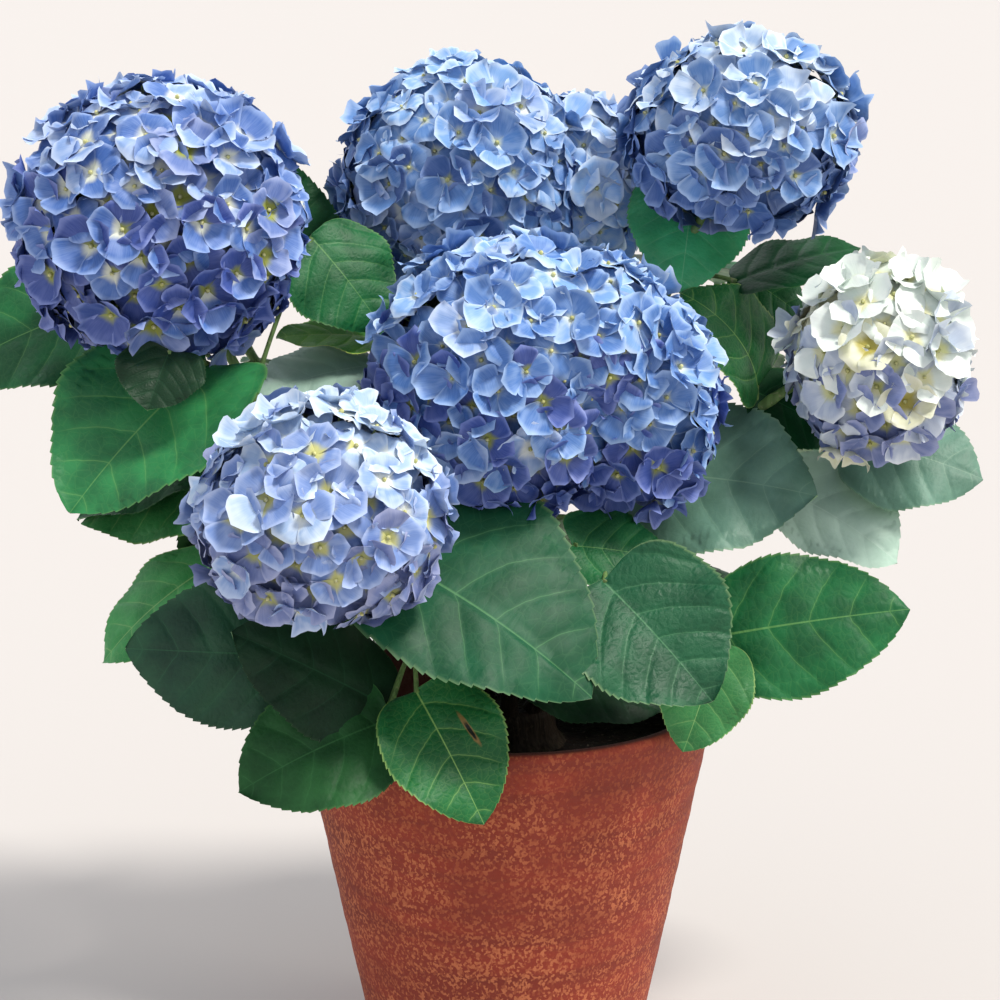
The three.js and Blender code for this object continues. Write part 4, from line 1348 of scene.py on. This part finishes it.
HEADS = [
    Head("left", "bloom_left", ("left",), 0, Palette(
        PetalTint.PALE_BLUE, PetalTint.VIOLET_BLUE, PetalTint.DEEP_VIOLET,
        PetalTint.OLIVE_BLUE, 0.12, "petal_violet_blue", (0.14, 0.82)),
        shift=((4, 0, -3),), fill=(1.04, 1.04, 1.12)),
    Head("low_left", "bloom_low_left", ("low_left",), 1, Palette(
        PetalTint.ICE, PetalTint.LAVENDER, PetalTint.LILAC_GREY, PetalTint.PALE_BLUE,
        0.12, "petal_lavender", (0.02, 0.7)),
        shift=((0, 0, -1),), fill=(0.99, 0.99, 0.99)),
    Head("front", "bloom_front", ("front", "front_right"), 2, Palette(
        PetalTint.SKY, PetalTint.PERIWINKLE, PetalTint.DEEP_VIOLET, PetalTint.PALE_BLUE,
        0.07, "petal_periwinkle", (0.03, 0.76)),
        shift=((-1, 0, -8), (-6, 0, 4)), fill=(1.02, 1.0, 1.09),
        bridge=((50, -46, 482), (56, 60, 60))),
    Head("white", "bloom_white", ("white",), 3, Palette(
        PetalTint.SNOW, PetalTint.PEARL, PetalTint.LILAC_GREY, PetalTint.BUTTER,
        0.08, "petal_white", (-0.2, 0.3)),
        shift=((0, 0, -2),), fill=(0.97, 0.97, 0.97)),
    Head("top_right", "bloom_top_right", ("top_right",), 4, Palette(
        PetalTint.ICE, PetalTint.STEEL, PetalTint.DEEP_BLUE, PetalTint.OLIVE_BLUE,
        0.08, "petal_light_blue", (0.05, 0.62)),
        shift=((-5, 0, -3),), fill=(0.99, 0.99, 0.99)),
    Head("back", "bloom_back", ("back",), 5, Palette(
        PetalTint.SKY, PetalTint.STEEL, PetalTint.DEEP_BLUE, PetalTint.PALE_BLUE,
        0.08, "petal_steel_blue", (0.05, 0.66)),
        beside=("back_right",)),
    # This lobe stands in the shade of its neighbours: its light tints and low levels paint light
    # onto it.
    Head("back_right", "bloom_back", ("back_right",), 6, Palette(
        PetalTint.ICE, PetalTint.GLACIER, PetalTint.SKY, PetalTint.PALE_BLUE,
        0.08, "petal_steel_blue", (-0.6, 0.7)),
        shift=((3, -4, 0),), fill=(1.05, 1.05, 1.05), beside=("back",)),
    Head("rear", "bloom_rear", ("rear",), 7, Palette(
        PetalTint.ICE, PetalTint.STEEL, PetalTint.DEEP_BLUE, PetalTint.PALE_BLUE,
        0.1, "petal_light_blue")),
    Head("rear_left", "bloom_rear_left", ("rear_left",), 8, Palette(
        PetalTint.PALE_BLUE, PetalTint.VIOLET_BLUE, PetalTint.DEEP_VIOLET, PetalTint.ICE,
        0.1, "petal_violet_blue")),
]


@dataclass
class WoodyBase:
    """The stock and the ten boughs, with the relief of their bark: ridges, and a scar each."""

    foot: float = 214.3
    height: float = 26.0
    foot_radius: float = 40.0
    top_radius: float = 31.0
    bough_rows: int = 44
    bough_columns: int = 16
    stock_rows: int = 65
    stock_columns: int = 80

    def build(self, finishes: Finishes) -> None:
        """Makes the stock's piece and one piece of all boughs."""
        self._stock(finishes)
        boughs = Skin()
        for order, shoot in enumerate(SHOOTS.values()):
            share = np.linspace(0.0, BOUGH_SHARE + 0.01, self.bough_rows)
            path = shoot.at(share)
            angle = full_turn(self.bough_columns)[None]
            rows = np.arange(self.bough_rows)[:, None]
            relief = 1 + 0.05 * np.sin(5 * angle + 0.11 * rows + order)
            relief = relief + 0.05 * np.sin(9 * angle - 0.23 * rows + 2 * order)
            relief = relief + 0.12 * np.exp(-((rows - 21 - order % 5) / 1.4) ** 2)
            radii = shoot.radius(share) * (1 + 0.35 * np.exp(-share / 0.03))
            boughs.grids(tube(path, radii, self.bough_columns, relief), closed=True)
        boughs.piece("boughs_bark", [finishes.fibres[Fibre.HYDRANGEA_BARK]], "bark",
                     [f"bough_{name}" for name in SHOOTS])

    def _stock(self, finishes: Finishes) -> None:
        """A stump that flares at the soil, its radius furrowed by sines of the angle."""
        profile = np.array([[0.6, 0.0], [self.foot_radius, 0.0], [self.foot_radius - 3, 2.4],
                            [self.top_radius + 3, 8.0], [self.top_radius + 1.5, 14.0],
                            [self.top_radius + 0.6, 21.0], [self.top_radius - 0.5, 24.6],
                            [self.top_radius - 3, self.height - 0.2],
                            [0.6, self.height - 0.6]])
        fine = np.linspace(0, len(profile) - 1, self.stock_rows)
        radius, tall = (np.interp(fine, np.arange(len(profile)), profile[:, k]) for k in (0, 1))
        angle = full_turn(self.stock_columns)[None]
        rows = fine[:, None]
        furrow = 0.6 * np.sin(7 * angle + 0.6 * rows) + 0.5 * np.sin(17 * angle - 0.9 * rows)
        furrow = furrow + 0.35 * np.sin(31 * angle + 1.7 * rows)
        reach = radius[:, None] - 0.045 * radius[:, None] * (0.7 + 0.5 * furrow)
        points = turned(reach, self.foot + tall[:, None], angle)
        turned_piece("stock_bark", points, finishes.fibres[Fibre.HYDRANGEA_BARK], "bark",
                     "stock")


@dataclass
class Pot:
    """A turned terracotta pot with a rounded lip, and the soil in it.

    The lumps of the soil's top are ripples, each with its share, its size and its seed.
    """

    height: float = POT_HEIGHT
    rim_radius: float = POT_RIM_RADIUS
    foot_radius: float = POT_FOOT_RADIUS
    lip: float = 4.0
    wall: float = 9.0
    floor: float = 12.0
    soil_level: float = 214.0
    hole_radius: float = 6.0
    hole_ring: float = 46.0
    columns: int = 144
    soil_columns: int = 120

    LUMPS = ((1, 21.0, 0.0), (0.6, 9.0, 3.0), (0.4, 4.5, 7.0))

    def build(self, finishes: Finishes) -> None:
        """Makes the pot's piece with its three drain holes, and the soil's piece."""
        profile = self._profile()
        angle = full_turn(self.columns)[None]
        radius, tall = profile[:, :1], profile[:, 1:]
        up = ease(tall, 20, 120)
        wobble = 0.5 * np.sin(2 * angle + 0.4) + 0.3 * np.sin(5 * angle + 2 + tall / 60)
        rings = 0.1 * np.sin(tall / 1.9) + 0.16 * np.sin(tall / 5.3 + 1)
        reach = radius + up * (wobble + rings)
        rise = tall + ease(tall, 200, 250) * (0.5 * np.sin(angle + 1) + 0.3 * np.sin(3 * angle))
        points = turned(reach, rise, angle)
        pot = turned_piece("terracotta_pot", points, finishes.clay, "terracotta", "pot", 40)
        self._drill(pot)
        self._soil(finishes)

    def _outer_radius(self, height: Array | float) -> Array:
        """The outer cone's radius at a height."""
        return self.foot_radius + POT_SLOPE * height

    def _profile(self) -> Array:
        """The wall's outline from the middle of the underside, over the lip, to the floor."""
        below = self.height - self.lip
        outer = np.linspace(3, below, 96)
        inner = np.linspace(below, self.floor, 40)
        turn = np.linspace(0, pi, 11)[1:-1]
        middle = self.rim_radius - POT_SLOPE * self.lip - self.wall / 2
        curve = joined(middle + self.wall / 2 * np.cos(turn), below + self.lip * np.sin(turn))
        under = np.array([[0.6, 0], [30, 0], [60, 0], [self.foot_radius - 2.2, 0],
                          [self.foot_radius - 0.4, 1.0]])
        outside = joined(self._outer_radius(outer), outer)
        inside = joined(self._outer_radius(inner) - self.wall, inner)
        floor = np.array([[60, self.floor], [30, self.floor], [0.6, self.floor]])
        return np.concatenate([under, outside, curve, inside, floor])

    def _drill(self, pot: bpy.types.Object) -> None:
        """Cuts the three drain holes through the floor."""
        drills = Skin()
        ring = turned(self.hole_radius, 0.0, full_turn(24))
        middle = turned(self.hole_ring, 0.0, np.arange(3) * 2 * pi / 3)
        levels = np.array([-5.0, self.floor + 5.0])[:, None] * UP
        points = middle[:, None, None] + ring[None, None] + levels[None, :, None]
        drills.grids(points * MM, None, 0, closed=True)
        drill = drills.piece("drill", [pot.data.materials[0]], "terracotta", [])
        cut = pot.modifiers.new("drain_holes", "BOOLEAN")
        cut.operation, cut.object, cut.solver = "DIFFERENCE", drill, "EXACT"
        graph = bpy.context.evaluated_depsgraph_get()
        holed = bpy.data.meshes.new_from_object(pot.evaluated_get(graph))
        pot.modifiers.clear()
        old, pot.data = pot.data, holed
        bpy.data.meshes.remove(old)
        bpy.data.objects.remove(drill)

    def _soil(self, finishes: Finishes) -> None:
        """The soil: a cone whose crumbly top is sunk a little all round the stock."""
        level = self.floor + 0.4
        foot = self._outer_radius(level) - self.wall - 0.5
        top = self._outer_radius(self.soil_level) - self.wall - 0.8
        side = joined(np.linspace(foot, top, 12), np.linspace(level, self.soil_level - 3, 12))
        over = joined(np.linspace(top - 1, 0.8, 44), self.soil_level)
        profile = np.concatenate([[[0.8, level]], side, over])
        radius, tall = profile[:, :1], profile[:, 1:]
        points = turned(radius, tall, full_turn(self.soil_columns)[None])
        lumps = sum(share * ripple(points, size, seed) for share, size, seed in self.LUMPS)
        bare = ease(radius, 36, 44) * (tall > self.soil_level - 1)
        points[..., 2] += bare * (-2.0 + 1.6 * lumps)
        turned_piece("soil_crumbs", points, finishes.soil, "potting_soil", "soil")


@dataclass
class Studio:
    """The pale floor, the soft lights and the camera at the photograph's angle."""

    eye: Point = (-0.0039, -1.5738, 0.7549)
    pitch: float = 13.6
    lens: float = 91.8
    room: float = 0.8
    reach: float = 60.0

    LAMPS = (("key", (0.85, -0.5, 1.8), 14.0, 3.1, "fffaf2"),
             ("side", (1.6, -0.1, 0.6), 25.0, 0.8, "fff6ea"),
             ("back", (-0.5, 1.2, 1.2), 25.0, 0.7, "f6f9ff"))

    def build(self) -> None:
        """Sets up floor, world, lights and camera."""
        self._floor()
        world = bpy.data.worlds.new("soft_room")
        bpy.context.scene.world = world
        world.use_nodes = True
        sky = world.node_tree.nodes["Background"]
        sky.inputs["Color"].default_value = paint("f2f3f8")
        sky.inputs["Strength"].default_value = self.room
        for lamp in self.LAMPS:
            self._lamp(*lamp)
        data = bpy.data.cameras.new("camera")
        data.sensor_width, data.lens, data.clip_end = 36.0, self.lens, 200.0
        camera = placed("camera", data)
        camera.location = self.eye
        camera.rotation_euler = (radians(90 - self.pitch), 0, 0)
        bpy.context.scene.camera = camera
        bpy.context.scene.view_settings.view_transform = "Standard"

    def _floor(self) -> None:
        """A wide, plain, pale floor."""
        edge = np.linspace(-self.reach, self.reach, 3)
        points = joined(edge[None], edge[:, None], 0.0)
        mesh = bpy.data.meshes.new("floor")
        rows = np.arange(9).reshape(3, 3)
        quads = joined(rows[:-1, :-1], rows[:-1, 1:], rows[1:, 1:], rows[1:, :-1])
        mesh.from_pydata(points.reshape(-1, 3).tolist(), [], quads.reshape(-1, 4).tolist())
        mesh.update()
        pale = bpy.data.materials.new("pale_floor")
        pale.use_nodes = True
        shade = pale.node_tree.nodes["Principled BSDF"]
        shade.inputs["Base Color"].default_value = paint("bebab7")
        shade.inputs["Roughness"].default_value = 0.95
        mesh.materials.append(pale)
        floor = placed("floor", mesh)

    def _lamp(self, name: str, towards: Point, width: float, strength: float,
              tone: str) -> None:
        """A wide, even light from one direction, as broad as its angle in degrees."""
        data = bpy.data.lights.new(name, "SUN")
        data.angle, data.energy = radians(width), strength
        data.color = paint(tone)[:3]
        lamp = placed(name, data)
        lamp.location = towards
        level = float(np.hypot(towards[0], towards[1]))
        lamp.rotation_euler = (float(np.arctan2(level, towards[2])), 0,
                               float(np.arctan2(towards[1], towards[0])) + pi / 2)


def main() -> None:
    """Builds every sub-assembly in order."""
    logging.basicConfig(level=logging.INFO, format="%(name)s: %(message)s")
    finishes = Finishes()
    Studio().build()
    Pot().build(finishes)
    WoodyBase().build(finishes)
    stems = Skin()
    for order, name in enumerate(SHOOTS):
        Foliage(name, order).build(finishes, stems)
    stems.piece("green_stems", [finishes.fibres[Fibre.GREEN_STEM]], "leaf",
                [f"leaves_{name}" for name in SHOOTS])
    for head in HEADS:
        head.build(finishes)


if __name__ == "__main__":
    main()
